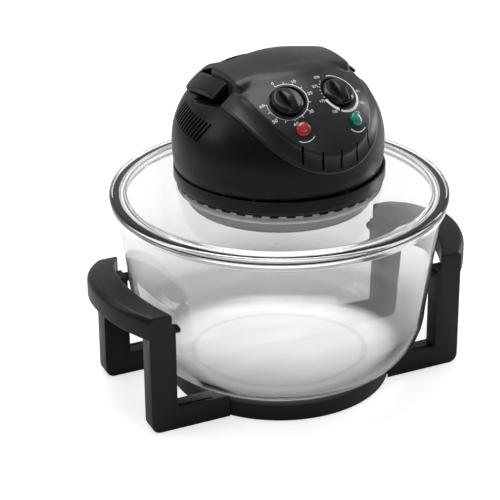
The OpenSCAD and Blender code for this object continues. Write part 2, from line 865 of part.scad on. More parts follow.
module terminal_block() {
    color("#e9e5d6") in_head() difference() {
        box(-17, 17, terminal_y - 7, terminal_y + 7, floor_t, floor_t + 12);
        for (x = [-11, 0, 11]) translate([x, terminal_y, floor_t + 5]) cylinder(r = 2.5, h = 10, $fn = 24);
    }
}

module wiring() {
    color("#b03028") in_head() {
        wire([[-11, terminal_y, floor_t + 5], [-11, terminal_y, 34], [-68, 38, 36], [-66, -18, 42], [-52, -38, 64]], 1.2);
        wire([[11, terminal_y, floor_t + 5], [11, terminal_y, 34], [66, 44, 34], [68, -14, 44], [40, -40, 68]], 1.2);
        wire([[0, terminal_y, floor_t + 5], [0, terminal_y, 36], [0, 56, 42]], 1.2);
    }
}

module cord_gland() {
    color("#161616") in_head() translate([0, 0, gland_z]) rotate([-90, 0, 0]) difference() {
        union() {
            translate([0, 0, gland_y]) cylinder(r = gland_r, h = 26, $fn = 48);
            translate([0, 0, gland_y - 2]) cylinder(r = gland_r + 2.5, h = 4, $fn = 48);
        }
        translate([0, 0, gland_y - 12]) cylinder(r = cord_r, h = 50, $fn = 48);
    }
}

// Motor

module motor_bracket() {
    color("#a9abad") in_head() translate([0, 0, bracket_z]) difference() {
        union() {
            for (a = [45, 135]) rotate([0, 0, a])
                box(-post_xy * sqrt(2) - 6, post_xy * sqrt(2) + 6, -7, 7, 0, motor_plate);
            cylinder(r = 22, h = motor_plate);
            cylinder(r = bearing_r + 3, h = 7);
        }
        translate([0, 0, -1]) cylinder(r = bearing_r, h = 20);
        four_ways() translate([post_xy, post_xy, -1]) cylinder(r = motor_screw_r + 0.2, h = 10, $fn = 24);
    }
}

module motor_core() {
    color("#7d7f82") in_head() translate([0, 0, core_z]) difference() {
        union() {
            box(-core_w / 2, core_w / 2, -24, 46, 0, core_h);
            for (x = [-1, 1], y = [-18, 24]) translate([x * spacer_xy, y, -8]) cylinder(r = 3, h = 9, $fn = 24);
        }
        translate([0, 0, -20]) cylinder(r = rotor_r + air_gap, h = 60);
        box(-18, 18, 20, 34, -1, core_h + 1);
    }
}

module motor_coil() {
    color("#b5651d") in_head() translate([0, 0, core_z]) difference() {
        box(-16, 16, 28, 52, -5, core_h + 5);
        box(-20, 20, 34 - joint_gap, 46 + joint_gap, -joint_gap, core_h + joint_gap);
    }
}

module motor_bridge() {
    color("#a9abad") in_head() difference() {
        union() {
            translate([0, 0, bridge_z]) box(-core_w / 2, core_w / 2, -8, 8, 0, motor_plate);
            for (x = [-1, 1]) translate([x * spacer_xy, 0, core_z + core_h]) cylinder(r = 3, h = 9, $fn = 24);
            translate([0, 0, bridge_z - 4]) cylinder(r = bearing_r + 2, h = 4 + motor_plate);
        }
        translate([0, 0, bridge_z - 10]) cylinder(r = bearing_r, h = 20);
    }
}

module motor_bearings() {
    color("#b08d4c") in_head() {
        translate([0, 0, bracket_z]) tube_of(bearing_r - 0.02, shaft_r + running_gap, bearing_h);
        translate([0, 0, bridge_z - 4]) tube_of(bearing_r - 0.02, shaft_r + running_gap, bearing_h);
    }
}

module motor_screws() {
    color("#9a9a9a") in_head() four_ways() translate([post_xy, post_xy, bracket_z + motor_plate])
        screw(motor_screw_r - 0.02, 14, 3, 1.8);
}

module motor_shaft() {
    color("#c8c8c8") in_head() translate([0, 0, shaft_bottom]) cylinder(r = shaft_r, h = shaft_top - shaft_bottom);
}

module motor_rotor() {
    color("#8b8d90") in_head() translate([0, 0, core_z + 0.5]) tube_of(rotor_r, shaft_r + 0.02, core_h - 1);
}

module cooling_fan() {
    color("#b8babc") in_head() translate([0, 0, cool_fan_z]) difference() {
        union() {
            cylinder(r = cool_fan_r, h = 1.2);
            cylinder(r = 7, h = 10);
            for (a = [0 : 40 : 320]) rotate([0, 0, a]) translate([18, 0, 0]) rotate([0, 0, 25])
                box(0, cool_fan_r - 21, -0.6, 0.6, 0.5, 9);
        }
        translate([0, 0, -1]) cylinder(r = shaft_r + 0.02, h = 20);
    }
}

module hot_air_fan() {
    height = hot_fan_top - hot_fan_bottom;
    color("#c2c4c6") in_head() translate([0, 0, hot_fan_bottom]) difference() {
        union() {
            translate([0, 0, height - 1.2]) cylinder(r = hot_fan_r - 8, h = 1.2);
            cylinder(r = 7, h = height);
            for (a = [0 : 45 : 315]) rotate([0, 0, a]) translate([14, 0, 1]) rotate([0, 0, 20])
                box(0, hot_fan_r - 16, -0.6, 0.6, 0, height - 1.5);
        }
        translate([0, 0, -1]) cylinder(r = shaft_r + 0.02, h = 30);
    }
}

module fan_nut() {
    color("#9a9a9a") in_head() translate([0, 0, shaft_bottom + 0.2]) difference() {
        cylinder(r = 6, h = 3.2, $fn = 6);
        translate([0, 0, -1]) cylinder(r = shaft_r + 0.02, h = 6);
    }
}

// Carrying handle and safety switch

module bail_plan() {
    rear = bail_reach + bail_w / 2;
    corner = 22;
    difference() {
        union() {
            translate([-bail_out, -bail_front]) square([2 * bail_out, rear + bail_front - corner]);
            translate([-bail_out + corner, 0]) square([2 * (bail_out - corner), rear]);
            for (side = [-1, 1]) translate([side * (bail_out - corner), rear - corner]) circle(r = corner);
        }
        translate([-bail_in, -bail_front - 1]) square([2 * bail_in, rear - bail_w + bail_front + 1]);
    }
}

module carry_handle() {
    color("#1b1b1d") difference() {
        intersection() {
            in_bail() translate([0, 0, -bail_t / 2]) linear_extrude(bail_t) bail_plan();
            in_head() dome(bail_proud);
        }
        in_bail() both_sides() translate([bail_in - 1, 0, 0]) rotate([0, 90, 0])
            cylinder(r = pin_r + 0.02, h = pin_grip + 1.2, $fn = 48);
    }
}

module handle_pins() {
    color("#c8c8c8") in_bail() both_sides() translate([cam_x - cam_t - 1, 0, 0]) rotate([0, 90, 0])
        cylinder(r = pin_r, h = bail_in + pin_grip - cam_x + cam_t + 1, $fn = 48);
}

// The cam's radius at the plunger falls by cam_fall as the handle rises by cam_sweep
module switch_cam() {
    step = 5;
    spare = 20;
    back = 360 - cam_sweep - spare;
    high = cam_rest + cam_fall * spare / cam_sweep;
    low = cam_rest - cam_fall * (cam_sweep + spare) / cam_sweep;
    color("#dedbd0") in_bail() translate([-cam_x, 0, 0]) rotate([bail_slope, 0, 0]) rotate([0, 90, 0]) difference() {
        linear_extrude(cam_t) polygon(concat(
            [for (a = [-cam_sweep - spare : step : spare])
                let (r = cam_rest + cam_fall * a / cam_sweep) [r * cos(a), r * sin(a)]],
            [for (a = [spare + step : step : back - step])
                let (r = high + (low - high) * (a - spare) / (back - spare)) [r * cos(a), r * sin(a)]]
        ));
        translate([0, 0, -1]) cylinder(r = pin_r + 0.02, h = cam_t + 2, $fn = 48);
    }
}

module pin_clip() {
    color("#b0b0b0") in_bail() translate([cam_x - cam_t, 0, 0]) rotate([0, 90, 0]) tube_of(6, pin_r + 0.02, 2);
}

module safety_switch() {
    x0 = -hump_x + wall + joint_gap + bracket_t;
    color("#2a2a6a") in_head() difference() {
        box(x0, x0 + switch_size[0], pivot[1] - switch_size[1] / 2, pivot[1] + switch_size[1] / 2,
            switch_top - switch_size[2], switch_top);
        translate([-cam_x + cam_t / 2, pivot[1], switch_top - plunger_l + 3]) cylinder(r = plunger_r + running_gap, h = plunger_l, $fn = 32);
    }
}

module switch_bracket() {
    x0 = -hump_x + wall + joint_gap;
    color("#a9abad") in_head() difference() {
        box(x0, x0 + bracket_t - 0.02, pivot[1] - 13, pivot[1] + 13, switch_top - switch_size[2], pivot[2] + 7.5);
        translate([-hump_x, pivot[1], pivot[2]]) rotate([0, 90, 0]) cylinder(r = pin_r + 0.5, h = 10, $fn = 32);
    }
}

module switch_plunger() {
    top = pivot[2] - cam_rest - plunger_gap;
    color("#e03c31") in_head() translate([-cam_x + cam_t / 2, pivot[1], top - plunger_l]) {
        cylinder(r = plunger_r, h = plunger_l - plunger_r, $fn = 32);
        translate([0, 0, plunger_l - plunger_r]) sphere(r = plunger_r, $fn = 32);
    }
}

// Knobs

module knob() {
    grip_w = 8;
    grip_h = 5;
    arch_r = 22;
    translate([0, 0, -recess_d + knob_under]) difference() {
        union() {
            cylinder(r = knob_r, h = knob_h - 2, $fn = 96);
            translate([0, 0, knob_h - 2]) cylinder(r = knob_r - 2, h = 2, $fn = 96);
            intersection() {
                box(-grip_w / 2, grip_w / 2, -knob_r, knob_r, knob_h - 3, knob_h + grip_h);
                cylinder(r = knob_r - 1.5, h = 40, $fn = 96);
                translate([-grip_w, 0, knob_h + grip_h - arch_r]) rotate([0, 90, 0])
                    cylinder(r = arch_r, h = 2 * grip_w, $fn = 192);
            }
        }
        translate([0, 0, -1]) cylinder(r = knob_shaft_r + 0.02, h = knob_h, $fn = 32);
    }
}

module knob_shaft() {
    length = body_in - recess_d + knob_h - 2 + knob_under + 10;
    translate([0, 0, -body_in - 10]) cylinder(r = knob_shaft_r, h = length, $fn = 32);
}

module timer_knob() {
    color("#0c0c0d") in_head() knob_place(timer_at, timer_splay) knob();
}

module timer_shaft() {
    color("#c8c8c8") in_head() knob_place(timer_at, timer_splay) knob_shaft();
}

module thermostat_knob() {
    color("#0c0c0d") in_head() knob_place(thermostat_at, thermostat_splay) knob();
}

module thermostat_shaft() {
    color("#c8c8c8") in_head() knob_place(thermostat_at, thermostat_splay) knob_shaft();
}

base_ring();
left_side_frame();
right_side_frame();
bowl_pegs();
stand_screws();
glass_bowl();
glass_lid();
lid_gasket();
clamp_ring();
heater_drum();
insulation_disc();
reflector();
halogen_tube();
tube_filament();
tube_end_caps();
tube_clips();
fan_guard();
drum_screws();
head_base();
head_cover();
panel_cover();
head_screws();
power_lamp_lens();
heat_lamp_lens();
lamp_bodies();
timer_body();
thermostat_body();
thermostat_probe();
thermal_cutout();
terminal_block();
wiring();
cord_gland();
motor_bracket();
motor_core();
motor_coil();
motor_bridge();
motor_bearings();
motor_screws();
safety_switch();
switch_bracket();
switch_plunger();
carry_handle();
handle_pins();
switch_cam();
pin_clip();
timer_knob();
timer_shaft();
thermostat_knob();
thermostat_shaft();
motor_shaft();
motor_rotor();
cooling_fan();
hot_air_fan();
fan_nut();
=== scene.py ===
"""A countertop halogen oven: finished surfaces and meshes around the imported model.

Lengths are millimetres in the model's frame until a mesh is made, where MM turns them into metres.
The lid and all it carries is turned on the bowl, so its pieces are built in the head's own frame,
whose origin is the underside of the head.
"""
from math import acos, asin, atan2, cos, degrees, pi, radians, sin, sqrt, tan

import bmesh
import bpy
import numpy as np
from mathutils import Matrix, Vector


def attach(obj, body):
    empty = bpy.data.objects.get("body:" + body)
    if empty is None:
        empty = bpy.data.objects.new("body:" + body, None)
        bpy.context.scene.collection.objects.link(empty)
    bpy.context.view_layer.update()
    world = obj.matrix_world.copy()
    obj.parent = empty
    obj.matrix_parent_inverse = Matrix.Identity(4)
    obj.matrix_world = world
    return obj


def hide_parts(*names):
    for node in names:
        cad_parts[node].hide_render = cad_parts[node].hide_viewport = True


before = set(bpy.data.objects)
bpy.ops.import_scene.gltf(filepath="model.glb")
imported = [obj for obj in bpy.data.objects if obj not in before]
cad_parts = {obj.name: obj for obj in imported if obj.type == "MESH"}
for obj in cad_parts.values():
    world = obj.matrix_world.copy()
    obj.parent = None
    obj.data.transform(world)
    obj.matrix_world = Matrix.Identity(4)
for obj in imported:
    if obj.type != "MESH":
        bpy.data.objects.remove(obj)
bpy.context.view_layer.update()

MM = 0.001
# Degrees for one piece of a rounded corner
ROUND_STEP = 12.0


def spin(angle, axis):
    """A turn in degrees."""
    return Matrix.Rotation(radians(angle), 4, axis)


# Frames
HEAD_TURN = 3.0
PANEL_TURN = 6.0
SEAT_Z = 212.0
HEAD = Matrix.Translation((0, 0, SEAT_Z)) @ spin(HEAD_TURN, "Z")
PANEL_ROT = radians(PANEL_TURN)
PIVOT = (0.0, -2.0, 101.0)
BAIL_SLOPE = 8.0
BAIL = HEAD @ Matrix.Translation(PIVOT) @ spin(-BAIL_SLOPE, "X")

# Stand and glass
RING_R, RING_IN, RING_H, RING_WALL = 110.0, 81.9, 20.0, 4.0
RING_STEP_R, RING_STEP = 88.9, 1.0
LEG_Y, LEG_T, LEG_W, LEG_IN, LEG_BEVEL = 70.0, 18.0, 26.5, 140.8, 1.6
LEG_OUT = LEG_IN + LEG_W
ARM_IN, ARM_H, ARM_CUT = 81.4, 23.0, 111.5
TONGUE_IN, TONGUE_Y, TONGUE_Z = 74.9, (55.0, 67.0), (2.0, 8.0)
NOTCH_OUT, FIT = 101.0, 0.2
GROOVE_Y, GROOVE_D = (5.5, 3.5), 1.5
BAR_Z, BAR_H, BAR_BOW, BAR_RISE = 99.5, 23.0, 28.0, 9.0
BAR_INNER_BOW, BAR_INSET = BAR_BOW - 7.0, 3.0
BOWL_ROOM, BOWL_TAPER, CONE_LOW = 0.8, 1.7, 60.0
BOWL_Z, BOWL_H, BOWL_R, FOOT_R, CORNER_R = 20.0, 172.0, 159.0, 145.4, 54.0
GLASS_T, RIM_R, RIM_H = 5.0, 163.5, 6.3
LID_R, LID_EDGE, HOLE_R, LID_GLASS = 165.0, 7.5, 93.0, 4.5
RIM_Z = BOWL_Z + BOWL_H
SKIRT_GAP, SKIRT_T, SKIRT_H = 1.0, 4.0, 6.0

# Head
DOME_A, DOME_C, DOME_LOW, DOME_Z, DOME_BACK = 102.4, 85.0, 120.0, 38.0, 2.5
HUMP_A, HUMP_WIDE, HUMP_C, HUMP_X, HUMP_FRONT, HUMP_REAR = 118.0, 150.0, 83.5, 61.0, 33.0, 25.0
HUMP_FOOT = 84.0
COVER_BOTTOM = 14.5
WALL = 2.5
PANEL_R, PANEL_Z, PANEL_BACK = 81.5, 118.0, 24.0
GAP = 0.3
BASE_R, BASE_H = 102.4, 14.0
KNOB_TILT = 28.0
TIMER = (-32.0, -59.0, -3.0)
THERMOSTAT = (21.0, -64.5, 3.0)
KNOB_R, KNOB_H, GRIP_H, GRIP_ARCH = 15.5, 8.0, 5.0, 22.0
LAMP_X, LAMP_Y, LAMP_SHIFT, LAMP_SKEW, LAMP_R = 28.4, -82.9, -2.0, 1.4, 7.0
RECESS_R, RECESS_D = 17.0, 5.0
BAIL_IN, BAIL_OUT, BAIL_FRONT, BAIL_REACH, BAIL_W, BAIL_T = 61.3, 77.3, 10.0, 59.0, 18.0, 15.0
BAIL_PROUD = 3.0
BAIL_CORNER, BAIL_INSIDE = 22.0, 7.0
WELL_SIDE, WELL_POCKET, WELL_FRONT = 8.5, 13.5, 20.0
RIBS, RIB_GAP = 40, 7.5
VENTS, VENT_STEP, VENT_W, VENT_H, VENT_TILT = 12, 5.0, 2.2, 21.0, 28.0
SLOTS, SLOT_TURN, SLOT_W, SLOT_H = 5, 11.1, 2.2, 17.6
GLAND_Z, GLAND_R = 28.0, 6.1
KNOB_BORE = 3.02

# Half the thickness of a print on the panel
INK = 0.08

# Light of the surroundings in front of the object, and towards a point above and behind it
WORLD_DARK, WORLD_LIGHT, WORLD_TOWARD = 0.05, 0.5, (0.3, 0.62, 0.72)
# Light that the floor adds where the camera sees it, and half of its side
FLOOR_LIGHT, FLOOR_HALF = 0.6, 6000.0
# Lamps in metres and watts: name, place, size, power; all are aimed at one point
LIT_POINT = (0.0, 0.0, 0.2)
SOFTBOXES = (
    ("top_softbox", (-0.1, 0.15, 1.5), (1.2, 1.0), 14.0),
    ("left_softbox", (-1.5, 0.4, 1.0), (0.6, 0.8), 4.0),
    ("right_softbox", (1.5, 0.1, 0.6), (0.3, 1.0), 7.0),
    ("front_fill", (0.5, -1.9, 1.3), (0.8, 0.6), 2.0),
)


# ---------- mesh helpers

def new_object(name, data):
    """A new object in the scene."""
    obj = bpy.data.objects.new(name, data)
    bpy.context.scene.collection.objects.link(obj)
    return obj


def mesh_object(name, verts, faces, sharp=35.0, matrix=None):
    """A new object from points in mm and faces, smooth but for edges sharper than the angle given."""
    mesh = bpy.data.meshes.new(name)
    points = np.asarray(verts, dtype=float)
    if matrix is not None:
        m = np.array(matrix)
        points = points @ m[:3, :3].T + m[:3, 3]
    mesh.from_pydata((points * MM).tolist(), [], [list(map(int, f)) for f in faces])
    mesh.validate()
    finish_mesh(mesh, sharp)
    return new_object(name, mesh)


def finish_mesh(mesh, sharp):
    """Joins doubled points, turns the faces outwards and shades them smooth up to the angle."""
    work = bmesh.new()
    work.from_mesh(mesh)
    bmesh.ops.remove_doubles(work, verts=work.verts, dist=1e-7)
    bmesh.ops.recalc_face_normals(work, faces=work.faces)
    work.to_mesh(mesh)
    work.free()
    mesh.polygons.foreach_set("use_smooth", [True] * len(mesh.polygons))
    mesh.set_sharp_from_angle(angle=radians(sharp))
    mesh.update()


def grid_quads(rows, cols, close_rows=False, close_cols=False):
    """Faces of a grid of points stored row by row."""
    faces = []
    for i in range(rows if close_rows else rows - 1):
        a, b = i * cols, ((i + 1) % rows) * cols
        for j in range(cols if close_cols else cols - 1):
            k = (j + 1) % cols
            faces.append((a + j, a + k, b + k, b + j))
    return faces


def rounded(corners):
    """A closed outline of (x, y, radius) corners, each rounded by its radius."""
    points = []
    count = len(corners)
    for i, (x, y, radius) in enumerate(corners):
        here = Vector((x, y))
        before = Vector(corners[i - 1][:2]) - here
        after = Vector(corners[(i + 1) % count][:2]) - here
        if radius <= 0:
            points.append((x, y))
            continue
        a, b = before.normalized(), after.normalized()
        half = acos(max(-1.0, min(1.0, a.dot(b)))) / 2
        if half > radians(89.5):
            points.append((x, y))
            continue
        reach = min(radius / tan(half), before.length * 0.49, after.length * 0.49)
        radius = reach * tan(half)
        centre = here + (a + b).normalized() * (radius / sin(half))
        start, end = here + a * reach - centre, here + b * reach - centre
        sweep = pi - 2 * half
        turn = 1 if start.x * end.y - start.y * end.x > 0 else -1
        pieces = max(2, int(degrees(sweep) / ROUND_STEP))
        for k in range(pieces + 1):
            t = turn * sweep * k / pieces
            c, s = cos(t), sin(t)
            points.append((centre.x + start.x * c - start.y * s, centre.y + start.x * s + start.y * c))
    return points


def arc(cx, cy, radius, start, end, pieces):
    """Corners, with no rounding of their own, along an arc given in degrees."""
    turns = [radians(start + (end - start) * i / pieces) for i in range(pieces + 1)]
    return [(cx + radius * cos(a), cy + radius * sin(a), 0) for a in turns]


def loft(name, rows, matrix=None):
    """A closed skin through rows of points, with both ends filled."""
    size, count = len(rows[0]), len(rows)
    faces = grid_quads(count, size, False, True)
    faces += [tuple(range(size)), tuple(range((count - 1) * size, count * size))]
    return mesh_object(name, np.concatenate(rows), faces, 40.0, matrix)


def lathe(name, outline, turns=192, matrix=None, sharp=35.0):
    """A closed outline of (radius, height) points turned about Z."""
    verts = []
    for i in range(turns):
        a = 2 * pi * i / turns
        c, s = cos(a), sin(a)
        verts.extend((r * c, r * s, z) for r, z in outline)
    return mesh_object(name, verts, grid_quads(turns, len(outline), True, True), sharp, matrix)


def arched(y):
    """The side bar's lower and upper heights at a distance along it."""
    half = LEG_Y + 1
    radius = (half ** 2 + BAR_RISE ** 2) / (2 * BAR_RISE)
    base = BAR_Z + BAR_RISE - radius
    return base + sqrt(radius ** 2 - y * y), base + sqrt((radius + BAR_H) ** 2 - y * y)


def ribbon(name, outer, inner, radii):
    """A side bar between two rails of (x, y) points, arched, with a rounded section and closed ends.

    radii are those of the section's corners: outer low, outer high, inner high, inner low.
    """
    rows = []
    for far, near in zip(outer, inner):
        o, n = Vector(far), Vector(near)
        width = (o - n).length
        across = (o - n) / width
        low, high = arched(n.y)
        shape = rounded([(width, low, radii[0]), (width, high, radii[1]),
                         (0.0, high, radii[2]), (0.0, low, radii[3])])
        rows.append(np.array([(n.x + across.x * u, n.y + across.y * u, w) for u, w in shape]))
    return loft(name, with_ends(rows, 1.5))


def prism(name, outline, low, high, bevel=0.0, axis="Z", matrix=None):
    """An outline of (x, y) points pulled along Z, or of (x, z) points along Y, from low to high."""
    work = bmesh.new()

    def place(u, v, w):
        return Vector((u, v, w)) if axis == "Z" else Vector((u, w, v))

    bottom = [work.verts.new(place(x, y, low)) for x, y in outline]
    top = [work.verts.new(place(x, y, high)) for x, y in outline]
    work.faces.new(bottom)
    work.faces.new(top)
    count = len(outline)
    for i in range(count):
        k = (i + 1) % count
        work.faces.new((bottom[i], bottom[k], top[k], top[i]))
    bmesh.ops.recalc_face_normals(work, faces=work.faces)
    if bevel > 0:
        edges = [e for e in work.edges if e.calc_face_angle(0) > radians(40)]
        bmesh.ops.bevel(work, geom=edges, offset=bevel, segments=3, profile=0.5,
                        affect="EDGES", clamp_overlap=True)
    mesh = bpy.data.meshes.new(name)
    if matrix is not None:
        work.transform(matrix)
    work.transform(Matrix.Scale(MM, 4))
    work.to_mesh(mesh)
    work.free()
    finish_mesh(mesh, 40.0)
    return new_object(name, mesh)


def block(name, x0, x1, y0, y1, z0, z1, bevel=0.0, matrix=None):
    return prism(name, [(x0, y0), (x1, y0), (x1, y1), (x0, y1)], z0, z1, bevel, matrix=matrix)


def combine(target, others, operation, sharp=35.0):
    """Cuts the others from the target, or joins or intersects them, and deletes them."""
    for other in others:
        change = target.modifiers.new(other.name, "BOOLEAN")
        change.operation = operation
        change.object = other
        change.solver = "MANIFOLD"
        settle(target, sharp)
        remove(other)
    return target


def cut(target, others, sharp=35.0):
    return combine(target, others, "DIFFERENCE", sharp)


def settle(obj, sharp=35.0):
    """Applies an object's modifiers."""
    graph = bpy.context.evaluated_depsgraph_get()
    mesh = bpy.data.meshes.new_from_object(obj.evaluated_get(graph))
    obj.modifiers.clear()
    old = obj.data
    obj.data = mesh
    bpy.data.meshes.remove(old)
    finish_mesh(mesh, sharp)


def join(name, pieces):
    """One object of several that don't overlap."""
    work = bmesh.new()
    for piece in pieces:
        work.from_mesh(piece.data)
        remove(piece)
    mesh = bpy.data.meshes.new(name)
    work.to_mesh(mesh)
    work.free()
    return new_object(name, mesh)


def move_mm(obj, matrix):
    """Moves an object's mesh by a matrix in mm."""
    obj.data.transform(Matrix.Scale(MM, 4) @ matrix @ Matrix.Scale(1 / MM, 4))


def remove(obj):
    mesh = obj.data
    bpy.data.objects.remove(obj)
    bpy.data.meshes.remove(mesh)


def copy_of(obj, name, matrix=None):
    twin = new_object(name, obj.data.copy())
    if matrix is not None:
        twin.data.transform(matrix)
        if matrix.determinant() < 0:
            twin.data.flip_normals()
    return twin


def dress(obj, material, body, slot, *nodes):
    """Gives a piece its material, the body it rides on and the nodes it stands for; its slot is not used.
    """
    obj.data.materials.clear()
    obj.data.materials.append(material)
    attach(obj, body)
    if nodes:
        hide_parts(*nodes)
    return obj


# ---------- materials

class Nodes:
    """Short names for making nodes in a tree."""

    def __init__(self, tree):
        self.tree = tree

    def node(self, kind, **values):
        """A new node; each value is a setting or, with _ for a space, a socket's constant."""
        made = self.tree.nodes.new(kind)
        for key, value in values.items():
            if hasattr(made, key):
                setattr(made, key, value)
            else:
                made.inputs[key.replace("_", " ")].default_value = value
        return made

    def link(self, a, b):
        self.tree.links.new(a, b)

    def mix(self, factor, first, second):
        """Two shaders mixed by a number or by a socket."""
        made = self.node("ShaderNodeMixShader")
        if isinstance(factor, float):
            made.inputs["Fac"].default_value = factor
        else:
            self.link(factor, made.inputs["Fac"])
        self.link(first, made.inputs[1])
        self.link(second, made.inputs[2])
        return made.outputs["Shader"]

    def seen_or_through(self):
        """A factor that is 1 for rays from the camera and rays through glass."""
        paths = self.node("ShaderNodeLightPath")
        either = self.node("ShaderNodeMath", operation="MAXIMUM")
        self.link(paths.outputs["Is Camera Ray"], either.inputs[0])
        self.link(paths.outputs["Is Transmission Ray"], either.inputs[1])
        return either.outputs["Value"]


class Shader(Nodes):
    """A material around one main surface."""

    def __init__(self, name):
        self.material = bpy.data.materials.new(name)
        self.material.use_nodes = True
        super().__init__(self.material.node_tree)
        self.base = self.tree.nodes["Principled BSDF"]
        self.out = self.tree.nodes["Material Output"]
        self.place = self.node("ShaderNodeTexCoord").outputs["Object"]

    def set(self, **values):
        """Constants of the surface's sockets, with _ for a space."""
        for key, value in values.items():
            self.base.inputs[key.replace("_", " ")].default_value = value

    def follow(self, socket, source):
        self.link(source, self.base.inputs[socket])

    def noise(self, scale, detail=3.0, rough=0.5, stretch=None):
        made = self.node("ShaderNodeTexNoise", Scale=scale, Detail=detail, Roughness=rough)
        source = self.place
        if stretch is not None:
            mapping = self.node("ShaderNodeMapping", Scale=stretch)
            self.link(source, mapping.inputs["Vector"])
            source = mapping.outputs["Vector"]
        self.link(source, made.inputs["Vector"])
        return made.outputs["Fac"]

    def ramp(self, source, low, high, start=0.3, end=0.7):
        made = self.node("ShaderNodeMapRange", From_Min=start, From_Max=end, To_Min=low, To_Max=high)
        self.link(source, made.inputs["Value"])
        return made.outputs["Result"]

    def colours(self, source, first, second, start=0.3, end=0.7):
        made = self.node("ShaderNodeValToRGB")
        for stop, place, colour in zip(made.color_ramp.elements, (start, end), (first, second)):
            stop.position, stop.color = place, (*colour, 1)
        self.link(source, made.inputs["Fac"])
        return made.outputs["Color"]

    def bump(self, source, strength, distance):
        made = self.node("ShaderNodeBump", Strength=strength, Distance=distance)
        self.link(source, made.inputs["Height"])
        self.follow("Normal", made.outputs["Normal"])


def shade(colour, factor):
    return tuple(min(1.0, c * factor) for c in colour)


def plastic(name, colour, rough, grain=2600.0, depth=0.00002, spread=0.12,
            coat=0.0, shine=0.5):
    """A moulded plastic: fine grain, a slow change of tone and uneven gloss."""
    s = Shader(name)
    tone = s.colours(s.noise(28.0, 4.0), shade(colour, 1 - spread), shade(colour, 1 + spread))
    s.follow("Base Color", tone)
    s.follow("Roughness", s.ramp(s.noise(180.0, 5.0), rough * 0.88, rough * 1.12))
    s.bump(s.noise(grain, 2.0), 0.25, depth)
    s.set(Specular_IOR_Level=shine, Coat_Weight=coat, Coat_Roughness=0.12)
    return s.material


def metal(name, colour, rough, stretch=(1.0, 1.0, 30.0), scale=260.0, depth=0.00002):
    """A metal with fine lines along the drawing or turning direction."""
    s = Shader(name)
    lines = s.noise(scale, 4.0, 0.6, stretch)
    s.follow("Base Color", s.colours(lines, shade(colour, 0.86), shade(colour, 1.08)))
    s.follow("Roughness", s.ramp(lines, rough * 0.8, rough * 1.25))
    s.set(Metallic=1.0)
    s.bump(lines, 0.25, depth)
    return s.material


def clear_glass(name, veil, tint=(1.0, 1.0, 1.0), zones=False):
    """Clear glass with a faint milky veil.

    With zones, its grey follows the bowl's height as painted shade, and its floor glows with painted light.
    """
    s = Shader(name)
    s.set(Transmission_Weight=1.0, IOR=1.47)
    colour = s.colours(s.noise(9.0, 3.0), shade(tint, 0.985), tint)
    if zones:
        # Painted shade: the glass is greyed by its height, darkest low on its wall
        split = s.node("ShaderNodeSeparateXYZ")
        s.link(s.place, split.inputs["Vector"])
        ramp = s.node("ShaderNodeValToRGB")
        s.link(s.ramp(split.outputs["Z"], 0.0, 1.0, BOWL_Z * MM, RIM_Z * MM), ramp.inputs["Fac"])
        stops = ramp.color_ramp.elements
        for k, (place, grey) in enumerate(BOWL_SHADE_GREYS):
            stop = stops[k] if k < 2 else stops.new(place)
            stop.position = place
            stop.color = (grey, grey + 0.006, grey + 0.006, 1)
        mixed = s.node("ShaderNodeMix", data_type="RGBA", blend_type="MULTIPLY")
        mixed.inputs[0].default_value = 1.0
        s.link(colour, mixed.inputs[6])
        s.link(ramp.outputs["Color"], mixed.inputs[7])
        colour = mixed.outputs[2]
    s.follow("Base Color", colour)
    s.follow("Roughness", s.ramp(s.noise(14.0, 4.0), 0.0, 0.02))
    mist = s.node("ShaderNodeBsdfDiffuse", Color=(0.97, 0.98, 0.98, 1))
    result = s.mix(veil, s.base.outputs["BSDF"], mist.outputs["BSDF"])
    if zones:
        # Painted light: the bowl's floor glows a mottled white
        glow = s.node("ShaderNodeEmission", Strength=FLOOR_GLOW)
        clouds = s.noise(16.0, 4.0, 0.5, (1.0, 3.0, 1.0))
        s.link(s.colours(clouds, (0.86, 0.87, 0.87), (1.0, 1.0, 1.0)), glow.inputs["Color"])
        depth = s.ramp(split.outputs["Z"], FLOOR_GLOW_SHARE, 0.0, FLOOR_TOP, FLOOR_TOP + FLOOR_FADE)
        result = s.mix(depth, result, glow.outputs["Emission"])
    s.link(result, s.out.inputs["Surface"])
    return s.material


def lamp_lens(name, colour, glow):
    """A tinted lens: mottled facets, and painted shade that darkens it to its rim where it turns from view.
    """
    s = Shader(name)
    facets = s.node("ShaderNodeTexVoronoi", Scale=420.0)
    s.link(s.place, facets.inputs["Vector"])
    tone = s.colours(facets.outputs["Distance"], shade(colour, 1.5), shade(colour, 0.6), 0.1, 0.8)
    # Painted shade: darker where the lens is seen edge-on
    rim = s.node("ShaderNodeLayerWeight", Blend=0.35)
    edge = s.node("ShaderNodeMix", data_type="RGBA")
    s.link(rim.outputs["Facing"], edge.inputs[0])
    s.link(tone, edge.inputs[6])
    edge.inputs[7].default_value = (*shade(colour, 0.25), 1)
    s.follow("Base Color", edge.outputs[2])
    s.follow("Emission Color", edge.outputs[2])
    s.follow("Roughness", s.ramp(s.noise(300.0, 3.0), 0.15, 0.25))
    s.set(Transmission_Weight=0.1, Coat_Weight=0.4, Emission_Strength=glow)
    return s.material


# The bowl's painted shade: its grey at shares of its height, with both ends first
BOWL_SHADE_GREYS = ((0.0, 0.72), (1.0, 0.96), (0.08, 0.3), (0.24, 0.34), (0.42, 0.62), (0.7, 0.82))
# The painted glow of its floor: how much, how bright, and the heights in metres over which it ends
FLOOR_GLOW_SHARE, FLOOR_GLOW, FLOOR_TOP, FLOOR_FADE = 0.82, 1.4, 0.0253, 0.005

